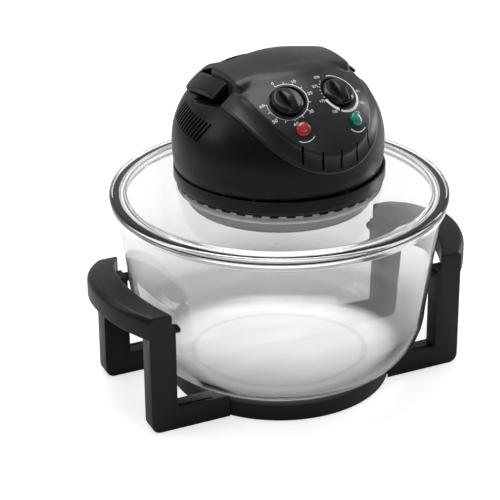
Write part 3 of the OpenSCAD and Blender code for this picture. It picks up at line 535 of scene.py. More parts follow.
FRAME_BLACK = plastic("frame_plastic", (0.010, 0.010, 0.011), 0.38, shine=0.3)
RING_BLACK = plastic("ring_plastic", (0.008, 0.008, 0.009), 0.36, shine=0.3)
HEAD_BLACK = plastic("head_plastic", (0.007, 0.007, 0.009), 0.33, shine=0.22)
BASE_BLACK = plastic("base_plastic", (0.006, 0.006, 0.007), 0.32, grain=900.0,
                     depth=0.000001, shine=0.25)
PANEL_BLACK = plastic("panel_plastic", (0.018, 0.019, 0.022), 0.32, grain=1800.0,
                      depth=0.000008, shine=0.35)
KNOB_BLACK = plastic("knob_plastic", (0.008, 0.008, 0.009), 0.2, coat=0.1, shine=0.4)
WHITE_INK = plastic("white_ink", (0.85, 0.85, 0.85), 0.5, spread=0.05)
BOWL_CLEAR = clear_glass("bowl_glass", 0.012, zones=True)
LID_CLEAR = clear_glass("lid_glass", 0.01, (0.94, 0.945, 0.945))
# The silicone gasket is real, but its near-white is partly a painted highlight: bright glints where it
# shows between the head base's ribs
SILICONE_GLINT = plastic("gasket_silicone", (0.88, 0.88, 0.88), 0.35, spread=0.05)
DRUM_STEEL = metal("drum_steel", (0.25, 0.25, 0.255), 0.38, (1.0, 1.0, 40.0), 120.0)
RED_LENS = lamp_lens("red_lens", (0.42, 0.035, 0.035), 0.12)
GREEN_LENS = lamp_lens("green_lens", (0.012, 0.25, 0.17), 0.12)

PLAIN = {
    "peg": plastic("peg_plastic", (0.012, 0.012, 0.012), 0.6, shine=0.3),
    "ivory": plastic("ivory_plastic", (0.72, 0.69, 0.6), 0.45, spread=0.06),
    "grey": plastic("grey_plastic", (0.5, 0.5, 0.48), 0.45, spread=0.06),
    "blue": plastic("blue_plastic", (0.03, 0.04, 0.2), 0.4),
    "red": plastic("red_plastic", (0.5, 0.03, 0.02), 0.35),
    "rubber": plastic("gland_rubber", (0.02, 0.02, 0.02), 0.7),
    "ceramic": plastic("cap_ceramic", (0.75, 0.72, 0.65), 0.3, grain=900.0),
    "wool": plastic("insulation_wool", (0.6, 0.56, 0.46), 0.95, grain=700.0, depth=0.0006),
    "steel": metal("plated_steel", (0.6, 0.6, 0.61), 0.32, (4.0, 4.0, 1.0)),
    "zinc": metal("zinc_screws", (0.66, 0.66, 0.64), 0.3, (2.0, 2.0, 2.0)),
    "core": metal("core_steel", (0.3, 0.3, 0.31), 0.5, (1.0, 1.0, 60.0)),
    "copper": metal("copper_wire", (0.72, 0.36, 0.18), 0.35, (1.0, 1.0, 50.0)),
    "bronze": metal("bearing_bronze", (0.62, 0.48, 0.26), 0.4, (3.0, 3.0, 3.0)),
    "aluminium": metal("pressed_aluminium", (0.78, 0.78, 0.79), 0.28, (3.0, 3.0, 3.0)),
    "mirror": metal("reflector_aluminium", (0.85, 0.85, 0.86), 0.12, (2.0, 2.0, 2.0)),
    "quartz": clear_glass("tube_quartz", 0.1, (0.98, 0.96, 0.93)),
}

# The CAD nodes that stay in sight, by look
NODE_LOOKS = {
    "zinc": "stand_screws drum_screws head_screws motor_screws fan_nut",
    "steel": "clamp_ring tube_clips thermostat_body motor_bracket motor_bridge switch_bracket "
             "handle_pins pin_clip timer_shaft thermostat_shaft motor_shaft fan_guard",
    "wool": "insulation_disc",
    "mirror": "reflector",
    "quartz": "halogen_tube",
    "core": "tube_filament motor_core motor_rotor",
    "ceramic": "tube_end_caps",
    "ivory": "lamp_bodies terminal_block switch_cam",
    "grey": "timer_body",
    "copper": "thermostat_probe motor_coil",
    "aluminium": "thermal_cutout cooling_fan hot_air_fan",
    "red": "wiring switch_plunger",
    "rubber": "cord_gland",
    "bronze": "motor_bearings",
    "blue": "safety_switch",
    "peg": "bowl_pegs",
}


# ---------- stand

def build_ring():
    top = RING_H
    outline = rounded([
        (RING_IN, 0, 0.8), (RING_IN + RING_WALL, 0, 0.8), (RING_IN + RING_WALL, top - RING_WALL, 1),
        (RING_R - RING_WALL, top - RING_WALL, 1), (RING_R - RING_WALL, 0, 0.8), (RING_R, 0, 1.2),
        (RING_R, top - 3.4, 2.5), (RING_R - 3.2, top - RING_STEP, 2.0),
        (RING_STEP_R + 1.1, top - RING_STEP, 0.5), (RING_STEP_R, top, 0.5), (RING_IN, top, 1.0)])
    ring = lathe("base_ring_moulding", outline, 224)
    cutters = []
    for sx in (-1, 1):
        for sy in (-1, 1):
            x0, x1 = sorted((sx * (TONGUE_IN - FIT), sx * NOTCH_OUT))
            y0, y1 = sorted((sy * (TONGUE_Y[0] - FIT), sy * (TONGUE_Y[1] + FIT)))
            cutters.append(block("notch", x0, x1, y0, y1, -1, TONGUE_Z[1] + FIT))
    cut(ring, cutters)
    return dress(ring, RING_BLACK, "stand", "ring_plastic", "base_ring")


def circle_through(bow):
    """The radius of an arc over the legs' distance whose middle stands out by the bow."""
    return (LEG_Y ** 2 + bow ** 2) / (2 * bow)


def build_side_frame():
    bar_r, inner_r = circle_through(BAR_BOW), circle_through(BAR_INNER_BOW)
    outer_x, inner_x = LEG_OUT + BAR_BOW - bar_r, LEG_IN + BAR_INSET + BAR_INNER_BOW - inner_r
    stations = [-LEG_Y + 2 * LEG_Y * i / 56 for i in range(57)]
    outer = [(outer_x + sqrt(bar_r ** 2 - y * y), y) for y in stations]
    inner = [(inner_x + sqrt(inner_r ** 2 - y * y), y) for y in stations]
    bar = ribbon("bar", outer, inner, (2.5, 6.5, 2.5, 2.0))
    leg_top = BAR_Z + 8
    outline = rounded([(ARM_IN, 0, 0.6), (LEG_OUT, 0, 9), (LEG_OUT, leg_top, 0.5), (LEG_IN, leg_top, 0.5),
                       (LEG_IN, ARM_H, 1.2), (ARM_IN, ARM_H, 0.6)])
    pieces, grooves = [], []
    for side in (-1, 1):
        y0, y1 = sorted((side * (LEG_Y - LEG_T), side * LEG_Y))
        leg = prism("leg", outline, y0, y1, LEG_BEVEL, "Y")
        around_ring = disc_cutter("ring_clearance", ARM_CUT, -1, 40, Matrix.Identity(4), 160)
        cut(leg, [around_ring], 40.0)
        y0, y1 = sorted((side * TONGUE_Y[0], side * TONGUE_Y[1]))
        pieces += [leg, block("tongue", TONGUE_IN, ARM_CUT, y0, y1, *TONGUE_Z, 0.5)]
        y0, y1 = sorted((side * (LEG_Y - GROOVE_Y[0]), side * (LEG_Y - GROOVE_Y[1])))
        grooves.append(block("groove", ARM_CUT - 8, LEG_IN - 2, y0, y1, ARM_H - GROOVE_D, ARM_H + 1))
    combine(bar, pieces, "UNION")
    low, high = FOOT_R + BOWL_ROOM - BOWL_TAPER, BOWL_R + BOWL_ROOM
    cone = lathe("bowl_clearance", [(0.001, CONE_LOW), (low, CONE_LOW), (high, RIM_Z - RIM_H),
                                    (0.001, RIM_Z - RIM_H)], 160)
    cut(bar, grooves + [cone])
    return bar


def build_stand():
    build_ring()
    right = build_side_frame()
    left = copy_of(right, "left_frame_moulding", Matrix.Scale(-1, 4, (1, 0, 0)))
    right.name = "right_frame_moulding"
    dress(right, FRAME_BLACK, "stand", "frame_plastic", "right_side_frame")
    dress(left, FRAME_BLACK, "stand", "frame_plastic", "left_side_frame")


# ---------- glass and heater

def build_bowl():
    corner_x = FOOT_R - CORNER_R
    corner_z = BOWL_Z + CORNER_R
    inner = CORNER_R - GLASS_T
    shoulder = RIM_Z - RIM_H
    outline = [(0.02, BOWL_Z, 0)] + arc(corner_x, corner_z, CORNER_R, -90, 0, 28)
    outline += [(BOWL_R, shoulder, 1.0), (RIM_R, shoulder, 1.6), (RIM_R, RIM_Z, 2.2),
                (BOWL_R - GLASS_T, RIM_Z, 1.2), (BOWL_R - GLASS_T, shoulder, 1.0)]
    outline += arc(corner_x, corner_z, inner, 0, -90, 28) + [(0.02, BOWL_Z + GLASS_T, 0)]
    bowl = lathe("bowl_glass_body", rounded(outline), 320, sharp=50.0)
    return dress(bowl, BOWL_CLEAR, "bowl", "bowl_glass", "glass_bowl")


def lid_top(r):
    """The height of the lid's crowned top at a radius."""
    high, low = SEAT_Z - 2.5, RIM_Z + LID_EDGE - 0.1
    r0, r1 = HOLE_R, RIM_R - 5.5
    return high - (high - low) * (r * r - r0 * r0) / (r1 * r1 - r0 * r0)


def build_lid():
    skirt_out = BOWL_R - GLASS_T - SKIRT_GAP
    skirt_in = skirt_out - SKIRT_T
    radii = [HOLE_R + (158.0 - HOLE_R) * i / 16 for i in range(17)]
    outline = [(r, lid_top(r), 0) for r in radii[1:]]
    outline += [(LID_R, RIM_Z + LID_EDGE, 3.0), (LID_R, RIM_Z, 2.4), (skirt_out, RIM_Z, 0.6),
                (skirt_out, RIM_Z - SKIRT_H, 1.2), (skirt_in, RIM_Z - SKIRT_H, 1.2),
                (skirt_in, lid_top(skirt_in) - LID_GLASS, 2.0)]
    outline += [(r, lid_top(r) - LID_GLASS, 0) for r in radii[::-1] if HOLE_R < r < skirt_in - 2]
    outline += [(HOLE_R, lid_top(HOLE_R) - LID_GLASS, 1.2), (HOLE_R, lid_top(HOLE_R), 1.2)]
    lid = lathe("lid_glass_body", rounded(outline), 320, sharp=50.0)
    return dress(lid, LID_CLEAR, "lid", "lid_glass", "glass_lid")


def build_heater():
    drum = lathe("drum_shell", rounded([
        (62, -1.2, 0), (62, 0, 0), (88.3, 0, 0.6), (88.5, -1, 0.4), (88.5, -22.5, 0.8), (89.1, -23, 0.5),
        (89.1, -24, 0.5), (87.4, -24, 0.5), (87.4, -1.2, 0.4)]), 224, HEAD)
    dress(drum, DRUM_STEEL, "lid", "drum_steel", "heater_drum")
    # Its pale colour gives painted glints between the base's ribs
    gasket = lathe("gasket_ring", rounded([
        (90.4, -11, 0.6), (98, -11, 0.8), (98, -8.9, 0.8), (92.7, -8.9, 0.3), (92.7, -2.3, 0.3),
        (98, -2.3, 0.8), (98, 0, 0.4), (90.4, 0, 0.4)]), 192, HEAD)
    dress(gasket, SILICONE_GLINT, "lid", "gasket_silicone", "lid_gasket")


# ---------- head surfaces

def ellipsoid(x, y, z, ax, az):
    """About the distance to an ellipsoid of half widths ax and half height az."""
    qx, qy, qz = x / ax, y / ax, z / az
    k0 = np.sqrt(qx * qx + qy * qy + qz * qz)
    k1 = np.sqrt((qx / ax) ** 2 + (qy / ax) ** 2 + (qz / az) ** 2)
    return k0 * (k0 - 1) / np.maximum(k1, 1e-9)


def blend_min(a, b, k):
    """The lesser of two fields, blended where they differ by less than k."""
    h = np.clip(0.5 + 0.5 * (b - a) / k, 0, 1)
    return b * (1 - h) + a * h - k * h * (1 - h)


def blend_max(a, b, k):
    return -blend_min(-a, -b, k)


def smooth(x, low, high):
    t = np.clip((x - low) / (high - low), 0, 1)
    return t * t * (3 - 2 * t)


def dome_field(x, y, z):
    dz = z - DOME_Z
    return ellipsoid(x, y - DOME_BACK, dz, DOME_A, np.where(dz > 0, DOME_C, DOME_LOW))


def hump_field(x, y, z):
    top = ellipsoid(x * HUMP_A / HUMP_WIDE, y, z - DOME_Z, HUMP_A, HUMP_C)
    sides = blend_max(np.abs(x) - HUMP_X, y - HUMP_REAR, 2.0)
    front = -y - HUMP_FRONT
    return blend_max(blend_max(top, sides, 3.0), front, 10.0)


def well_field(x, y, z):
    """Negative in the channel that the carrying handle lies in."""
    a = radians(BAIL_SLOPE)
    px, py, pz = x - PIVOT[0], y - PIVOT[1], z - PIVOT[2]
    ly, lz = py * cos(a) - pz * sin(a), py * sin(a) + pz * cos(a)
    rear = BAIL_REACH + BAIL_W / 2 + 5
    beside = np.maximum(HUMP_X - np.abs(px), -ly - WELL_FRONT)
    side = blend_max(beside, -WELL_SIDE - lz, 2.0)
    pocket = blend_max(np.maximum(beside, ly - 18), -WELL_POCKET - lz, 2.0)
    back = np.maximum(HUMP_REAR - 2 - ly, -WELL_SIDE - lz)
    return np.maximum(np.minimum(np.minimum(side, pocket), back), ly - rear)


def panel_frame(x, y):
    """A place in the panel's own turned frame."""
    c, s = cos(PANEL_ROT), sin(PANEL_ROT)
    return c * x + s * y, -s * x + c * y


# Height of the panel above the dome at distances from its disc's middle: a ridge, a channel, a rim
LIP = np.array([[0, 0.0], [36, 0.2], [50, 1.2], [58, 2.3], [62, 2.95], [63.6, 3.05], [65, 2.5], [67, 1.35],
                [70, 0.7], [73, 0.6], [77, 1.0], [79.6, 1.7], [80.8, 1.5], [81.5, 1.0], [83, 0.6],
                [200, 0.6]])


def lip_height(x, y, z):
    """The lip's height at a place, softened, and lower towards the rear."""
    px, py = panel_frame(x, y)
    rho = np.sqrt(px ** 2 + (z - PANEL_Z) ** 2)
    table = np.arange(0, 201, 0.25)
    heights = np.interp(table, LIP[:, 0], LIP[:, 1])
    kernel = np.hanning(9)
    heights = np.convolve(np.pad(heights, 4, mode="edge"), kernel / kernel.sum(), mode="valid")
    height = np.interp(rho, table, heights)
    front = smooth(-py, 20, 42)
    return height * (0.25 + 0.75 * front)


def cover_field(x, y, z):
    return blend_max(dome_field(x, y, z), -well_field(x, y, z), 1.4)


def panel_field(x, y, z):
    k = 2.0 + 14.0 * (1 - smooth(np.abs(x + 2), 22, 60)) * smooth(-y, 20, 44)
    both = blend_min(dome_field(x, y, z) - lip_height(x, y, z), hump_field(x, y, z), k)
    return blend_max(both, -well_field(x, y, z), 1.2)


def surface_points(field, directions, origin, start=150.0, steps=70):
    """Where rays from far outside towards the origin first meet the surface."""
    t = np.full(len(directions), start)
    for _ in range(steps):
        p = origin + directions * t[:, None]
        t = t - 0.85 * field(p[:, 0], p[:, 1], p[:, 2])
        t = np.clip(t, 1.0, start)
    return origin + directions * t[:, None]


def head_solid(name, field, turns, rows, bottom, origin_z=40.0, shrink=0.0):
    """A closed solid whose side is the field's surface, seen from its middle, down to the bottom height."""
    origin = np.array([0.0, 0.0, origin_z])
    offset = (lambda x, y, z: field(x, y, z) + shrink) if shrink else field
    angle = np.arange(turns) * 2 * pi / turns
    guess = np.full(turns, atan2(bottom - origin_z, 100.0))
    for _ in range(6):
        d = np.stack([np.cos(guess) * np.cos(angle), np.cos(guess) * np.sin(angle), np.sin(guess)], axis=1)
        p = surface_points(offset, d, origin)
        guess = np.arctan2(bottom - origin_z, np.hypot(p[:, 0], p[:, 1]))
    verts = []
    for i in range(rows):
        e = guess + (pi / 2 - guess) * i / rows
        d = np.stack([np.cos(e) * np.cos(angle), np.cos(e) * np.sin(angle), np.sin(e)], axis=1)
        p = surface_points(offset, d, origin)
        if i == 0:
            p[:, 2] = bottom
        verts.append(p)
    top = surface_points(offset, np.array([[1e-9, 0.0, 1.0]]), origin)
    verts = np.concatenate(verts + [top, np.array([[0.0, 0.0, bottom]])])
    faces = grid_quads(rows, turns, False, True)
    last = (rows - 1) * turns
    for j in range(turns):
        k = (j + 1) % turns
        faces.append((last + j, last + k, rows * turns))
        faces.append((k, j, rows * turns + 1))
    return mesh_object(name, verts, faces, 30.0)


def window_solid(name, grow):
    """The region of the panel cover: the disc in front and the box around the hump."""
    turn = spin(PANEL_TURN, "Z")
    radius, side = PANEL_R + grow, HUMP_X + GAP + grow
    disc = [(radius * cos(a), PANEL_Z + radius * sin(a))
            for a in np.linspace(0, 2 * pi, 240, endpoint=False)]
    window = prism(name, disc, -130, -15, 0, "Y", turn)
    cut(window, [block("behind", -140, 140, -PANEL_BACK + grow, 30, -20, 240)])
    hump_box = block("hump_box", -side, side, -HUMP_FRONT - 4, HUMP_REAR + GAP + grow,
                     HUMP_FOOT - grow, 140)
    return combine(window, [hump_box], "UNION")


def knob_matrix(spot):
    """The frame of a dial, in the head's, with Z along its shaft."""
    x, y, splay = spot
    return (spin(PANEL_TURN, "Z") @ Matrix.Translation((x, y, dome_height(x, y)))
            @ spin(splay, "Y") @ spin(KNOB_TILT, "X"))


def dome_height(x, y):
    return DOME_Z + DOME_C * sqrt(1 - (x * x + (y - DOME_BACK) ** 2) / DOME_A ** 2)


def lamp_matrix(side):
    """The frame of a lamp, in the head's, with Z out of the dome."""
    x, y = side * LAMP_X + LAMP_SHIFT, LAMP_Y - side * LAMP_SKEW
    z = dome_height(x, y)
    g = Vector((x / DOME_A ** 2, (y - DOME_BACK) / DOME_A ** 2, (z - DOME_Z) / DOME_C ** 2))
    tilt = asin(-g.y / g.length)
    splay = atan2(g.x, g.z)
    return (spin(PANEL_TURN, "Z") @ Matrix.Translation((x, y, z))
            @ Matrix.Rotation(splay, 4, "Y") @ Matrix.Rotation(tilt, 4, "X"))


def disc_cutter(name, radius, low, high, matrix, turns=96):
    circle = [(radius * cos(a), radius * sin(a))
              for a in (2 * pi * i / turns for i in range(turns))]
    return prism(name, circle, low, high, matrix=matrix)


def build_head():
    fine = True
    inner = head_solid("inside", inside_field, 240, 110, COVER_BOTTOM - 3, shrink=WALL)
    cover = head_solid("dome_moulding", cover_field, *((600, 260) if fine else (360, 150)), COVER_BOTTOM)
    cutters = [window_solid("window", GAP), copy_of(inner, "inside_cover")] + vent_cutters()
    backwards = Matrix.Translation((0, 0, GLAND_Z)) @ spin(-90, "X")
    cutters.append(disc_cutter("gland_bore", GLAND_R, 80, 130, backwards))
    cut(cover, cutters, 30.0)
    move_mm(cover, HEAD)
    dress(cover, HEAD_BLACK, "lid", "head_plastic", "head_cover")

    panel = head_solid("panel_moulding", panel_field, *((720, 330) if fine else (420, 190)), COVER_BOTTOM)
    combine(panel, [window_solid("window", 0.0)], "INTERSECT", 30.0)
    cut(panel, [inner], 30.0)
    places = [knob_matrix(spot) for spot in (TIMER, THERMOSTAT)]
    cups = [disc_cutter("cup", RECESS_R + 2, -RECESS_D - WALL, -3.0, place) for place in places]
    combine(panel, cups, "UNION", 30.0)
    cutters = []
    for place in places:
        cutters.append(disc_cutter("recess", RECESS_R, -RECESS_D, 25, place))
        cutters.append(disc_cutter("shaft_hole", 3.5, -20, 0, place, 32))
    for side in (-1, 1):
        cutters.append(disc_cutter("lens_hole", LAMP_R + 0.2, -20, 20, lamp_matrix(side), 64))
    cutters += slot_cutters()
    cut(panel, cutters, 30.0)
    move_mm(panel, HEAD)
    dress(panel, PANEL_BLACK, "lid", "panel_plastic", "panel_cover")


def inside_field(x, y, z):
    """The whole head without its lip, from which the wall's thickness is taken off."""
    both = np.minimum(dome_field(x, y, z), hump_field(x, y, z))
    return np.minimum(cover_field(x, y, z), np.maximum(both, -well_field(x, y, z)))


def vent_cutters():
    """Air slots in both sides of the head cover."""
    cutters = []
    for side in (-1, 1):
        for i in range(VENTS):
            place = Matrix.Translation((-110, 33 - i * VENT_STEP, 72 - 0.4 * i)) @ spin(VENT_TILT, "X")
            cutters.append(block("vent", 0, 50, -VENT_W / 2, VENT_W / 2, -VENT_H / 2, VENT_H / 2,
                                 matrix=Matrix.Scale(side, 4, (1, 0, 0)) @ place))
    return cutters


def slot_cutters():
    """Upright slots through the panel's lower edge."""
    cutters = []
    for i in range(-(SLOTS // 2), SLOTS // 2 + 1):
        turn = Matrix.Rotation(PANEL_ROT + radians(SLOT_TURN * i), 4, "Z")
        low = PANEL_Z - PANEL_R + 4 + 2.3 * i * i
        cutters.append(block("slot", -SLOT_W / 2, SLOT_W / 2, -115, -80, low, low + SLOT_H, matrix=turn))
    return cutters


def build_base():
    base = lathe("head_base_moulding", rounded([
        (12, 0, 0.5), (100, 0, 0.8), (102.6, 3.2, 2.0), (BASE_R, BASE_H, 0.8), (BASE_R - WALL, BASE_H, 0.6),
        (BASE_R - WALL, 3, 0.8), (12, 3, 0.5)]), 256)
    ring = lathe("rib_ring", rounded([(98.2, -2, 0.3), (101, -2, 0.4), (101, 0.9, 0.2),
                                      (98.2, 0.9, 0.2)]), 240)
    gaps = []
    for i in range(RIBS):
        turn = Matrix.Rotation(2 * pi * i / RIBS, 4, "Z")
        gaps.append(block("gap", 96, 104, -RIB_GAP / 2, RIB_GAP / 2, -4, -0.1, matrix=turn))
    cut(ring, [join("gaps", gaps)])
    ring.name = "head_base_ribs"
    for piece in (base, ring):
        move_mm(piece, HEAD)
        dress(piece, BASE_BLACK, "lid", "base_plastic", "head_base")


def build_lamps():
    crown = [(LAMP_R * 0.96 * cos(a), 2.6 + 2.6 * sin(a)) for a in map(radians, range(10, 90, 8))]
    outline = [(0.02, -3), (LAMP_R - 0.6, -3), (LAMP_R - 0.4, -1), (LAMP_R - 0.3, 2.6), *crown, (0.02, 5.2)]
    for side, name, material, slot, node in (
            (-1, "red_lamp_lens", RED_LENS, "red_lens", "power_lamp_lens"),
            (1, "green_lamp_lens", GREEN_LENS, "green_lens", "heat_lamp_lens")):
        dress(lathe(name, outline, 64, HEAD @ lamp_matrix(side)), material, "lid", slot, node)


def build_grip():
    """The knob's finger grip: a bar across it whose top is an arc along its length."""
    rows = []
    reach = KNOB_R - 1.6
    for y in np.linspace(-reach, reach, 41):
        top = KNOB_H + GRIP_H - GRIP_ARCH + sqrt(GRIP_ARCH ** 2 - y * y)
        half = min(4.0, sqrt((KNOB_R - 1.2) ** 2 - y * y))
        shape = rounded([(-half - 0.5, KNOB_H - 3, 0), (half + 0.5, KNOB_H - 3, 0),
                         (half, top, 1.6), (-half, top, 1.6)])
        rows.append([(u, y, w) for u, w in shape])
    return loft("grip", rows)


def build_knobs():
    outline = rounded([(KNOB_BORE, 0, 0.3), (KNOB_R, 0, 0.6), (KNOB_R, 5.6, 1.4), (KNOB_R - 2.6, 7.8, 1.2),
                       (6.0, 6.8, 1.0), (KNOB_BORE, 6.8, 0.3)])
    for name, spot, body, node in (
            ("timer_dial_knob", TIMER, "timer_dial", "timer_knob"),
            ("thermostat_dial_knob", THERMOSTAT, "thermostat_dial", "thermostat_knob")):
        knob = combine(lathe(name, outline, 128), [build_grip()], "UNION")
        move_mm(knob, HEAD @ knob_matrix(spot) @ Matrix.Translation((0, 0, -RECESS_D + 1)))
        dress(knob, KNOB_BLACK, body, "knob_plastic", node)


def panel_rise(matrix, points):
    """Heights above a dial's plane at which lines along its axis meet the panel."""
    m = np.array(matrix)
    start = 14.0
    local = np.column_stack([points, np.full(len(points), start)])
    here = local @ m[:3, :3].T + m[:3, 3]
    gone = np.zeros(len(points))
    for _ in range(60):
        at = here - gone[:, None] * m[:3, 2]
        gone += 0.8 * panel_field(at[:, 0], at[:, 1], at[:, 2])
    return start - gone


def ink_strip(matrix, left, right):
    """Points and faces of a thin print on the panel between two lines in a dial's plane."""
    across = 3
    lines = [left + (right - left) * k / (across - 1) for k in range(across)]
    grid = np.stack(lines, axis=1).reshape(-1, 2)
    rise = panel_rise(matrix, grid)
    verts = np.concatenate([np.column_stack([grid, rise + INK]), np.column_stack([grid, rise - INK])])
    count = len(left)
    top = grid_quads(count, across)
    low = count * across
    faces = top + [tuple(low + i for i in reversed(face)) for face in top]
    last = (count - 1) * across
    edge = (list(range(across)) + [i * across + across - 1 for i in range(1, count)]
            + [last + k for k in range(across - 2, -1, -1)] + [i * across for i in range(count - 2, 0, -1)])
    for i, here in enumerate(edge):
        nxt = edge[(i + 1) % len(edge)]
        faces.append((here, here + low, nxt + low, nxt))
    return verts, faces


def ink_arc(matrix, stations):
    """A print along (angle, radius, width) stations."""
    a, r, w = (np.array(column, dtype=float) for column in zip(*stations))
    fine = np.linspace(0, 1, max(8, int(abs(a[-1] - a[0]) / 2.5)))
    at = np.linspace(0, 1, len(a))
    a, r, w = (np.interp(fine, at, column) for column in (a, r, w))
    line = np.column_stack([np.cos(np.radians(a)), np.sin(np.radians(a))])
    return ink_strip(matrix, line * (r - w / 2)[:, None], line * (r + w / 2)[:, None])


def ink_stroke(matrix, points, width):
    """A print of even width along a line of (u, v) points."""
    points = np.array(points, dtype=float)
    fine = [points[0]]
    for a, b in zip(points[:-1], points[1:]):
        pieces = max(1, int(np.linalg.norm(b - a) / 0.7))
        fine += [a + (b - a) * (k + 1) / pieces for k in range(pieces)]
    fine = np.array(fine)
    along = np.gradient(fine, axis=0)
    along /= np.maximum(1e-9, np.linalg.norm(along, axis=1))[:, None]
    side = np.column_stack([-along[:, 1], along[:, 0]]) * width / 2
    return ink_strip(matrix, fine - side, fine + side)


def ink_number(matrix, value, angle, radius, height):
    """The strokes of a number whose middle stands at an angle and radius from a dial's centre."""
    step = height * 0.85
    middle = np.array([cos(radians(angle)), sin(radians(angle))]) * radius
    made = []
    for i, digit in enumerate(value):
        corner = middle + np.array([(i - len(value) / 2) * step + 0.12 * height, -height / 2])
        for stroke in DIGITS[digit]:
            made.append(ink_stroke(matrix, corner + np.array(stroke) * height, 0.17 * height))
    return made


# The strokes of the digits, in a box one high
ROUND = [(0.3 + 0.28 * cos(a), 0.5 + 0.48 * sin(a)) for a in map(radians, range(0, 361, 24))]
DIGITS = {
    "0": [ROUND],
    "1": [[(0.15, 0.78), (0.35, 1.0), (0.35, 0.0)]],
    "2": [[(0.02, 0.8), (0.14, 0.95), (0.32, 1.0), (0.5, 0.94), (0.57, 0.76), (0.48, 0.52), (0.02, 0.02),
           (0.6, 0.02)]],
    "3": [[(0.04, 0.92), (0.3, 1.0), (0.53, 0.88), (0.53, 0.66), (0.28, 0.53), (0.55, 0.4), (0.58, 0.18),
           (0.3, 0.0), (0.03, 0.08)]],
    "4": [[(0.6, 0.28), (0.0, 0.28), (0.44, 1.0), (0.44, 0.0)]],
    "5": [[(0.55, 0.98), (0.1, 0.98), (0.06, 0.55), (0.3, 0.62), (0.56, 0.5), (0.57, 0.18), (0.3, 0.0),
           (0.02, 0.08)]],
    "6": [[(0.5, 0.96), (0.24, 0.86), (0.06, 0.55), (0.05, 0.22), (0.28, 0.0), (0.54, 0.16), (0.54, 0.42),
           (0.3, 0.56), (0.07, 0.42)]],
    "7": [[(0.02, 0.98), (0.6, 0.98), (0.22, 0.0)]],
}


def print_on(name, matrix, strips):
    """One piece of all the strips in a dial's or a lamp's frame."""
    verts, faces = [], []
    for points, quads in strips:
        start = sum(len(v) for v in verts)
        verts.append(points)
        faces += [tuple(start + i for i in face) for face in quads]
    ink = mesh_object(name, np.concatenate(verts), faces, 30.0, HEAD @ matrix)
    dress(ink, WHITE_INK, "lid", "panel_plastic")


def build_prints():
    place = knob_matrix(TIMER)
    first, last, radius = 94.0, -196.0, RECESS_R + 2.2
    strips = [ink_arc(place, [(first, radius, 0.7), (last, radius, 0.7)])]
    for i in range(13):
        angle = first + (last - first) * i / 12
        reach = 2.6 if i % 2 else 1.6
        strips.append(ink_arc_tick(place, angle, radius, reach))
        if i % 2 == 0:
            strips += ink_number(place, str(5 * i), angle, radius + 4.4, 3.0)
    print_on("timer_dial_print", place, strips)

    place = knob_matrix(THERMOSTAT)

    def reach(a):
        return 20.0 + 1.4 * cos(radians(a))

    widening = ((97, 0.7), (62, 0.8), (31, 1.0), (5, 1.5), (-17, 2.3), (-50, 2.6), (-80, 2.7), (-108, 2.7))
    strips = [ink_arc(place, [(a, reach(a), w) for a, w in widening]),
              ink_arc(place, [(a, reach(a), 2.7) for a in (-113, -130, -145, -160)])]
    for a in (-169, -181, -193, -205, -217, -229):
        strips.append(ink_arc(place, [(a + 1.6, reach(a), 1.1), (a - 1.6, reach(a), 1.1)]))
    for a, value in ((2, "65"), (-28, "100"), (-62, "125"), (-126, "150"), (-162, "175"), (-205, "225"),
                     (-237, "250")):
        strips += ink_number(place, value, a, reach(a) + 4.5, 2.5)
    print_on("thermostat_dial_print", place, strips)

    for side, name, first, last in ((-1, "power_lamp_print", -151, -68), (1, "heat_lamp_print", -120, -27)):
        place = lamp_matrix(side)
        print_on(name, place, [ink_arc(place, [(first, 12.2, 0.9), (last, 12.2, 0.9)])])


def ink_arc_tick(matrix, angle, radius, reach):
    way = np.array([cos(radians(angle)), sin(radians(angle))])
    return ink_stroke(matrix, [way * radius, way * (radius + reach)], 0.6)


def bail_rails():
    """Outer and inner rails of the handle, in its own frame, from one front end to the other."""
    rear = BAIL_REACH + BAIL_W / 2
    corner, inside = BAIL_CORNER, BAIL_INSIDE
    outer, inner = [], []
    for i in range(17):
        share = i / 16
        outer.append((-BAIL_OUT, -BAIL_FRONT + (rear - corner + BAIL_FRONT) * share))
        inner.append((-BAIL_IN, -BAIL_FRONT + (rear - BAIL_W - inside + BAIL_FRONT) * share))
    for i in range(1, 17):
        a = radians(180 - 90 * i / 16)
        outer.append((-BAIL_OUT + corner + corner * cos(a), rear - corner + corner * sin(a)))
        inner.append((-BAIL_IN + inside + inside * cos(a),
                      rear - BAIL_W - inside + inside * sin(a)))
    for i in range(1, 12):
        outer.append((-BAIL_OUT + corner + (BAIL_OUT - corner) * i / 12, rear))
        inner.append((-BAIL_IN + inside + (BAIL_IN - inside) * i / 12, rear - BAIL_W))
    mirrored = [[(-x, y) for x, y in reversed(rail)] for rail in (outer, inner)]
    return outer + [(0.0, rear)] + mirrored[0], inner + [(0.0, rear - BAIL_W)] + mirrored[1]


def softened(points, count, radius):
    """A closed outline sampled evenly, with its corners rounded to about the radius."""
    points = np.array(points)
    steps = np.linalg.norm(np.roll(points, -1, axis=0) - points, axis=1)
    along = np.concatenate([[0], np.cumsum(steps)])
    fine = 6 * count
    at = np.linspace(0, along[-1], fine, endpoint=False)
    closed = np.vstack([points, points[:1]])
    dense = np.stack([np.interp(at, along, closed[:, k]) for k in range(2)], axis=1)
    reach = radius / (along[-1] / fine)
    offsets = np.arange(-int(3 * reach), int(3 * reach) + 1)
    weights = np.exp(-0.5 * (offsets / reach) ** 2)
    weights /= weights.sum()
    soft = sum(w * np.roll(dense, -o, axis=0) for w, o in zip(weights, offsets))
    return soft[::6]


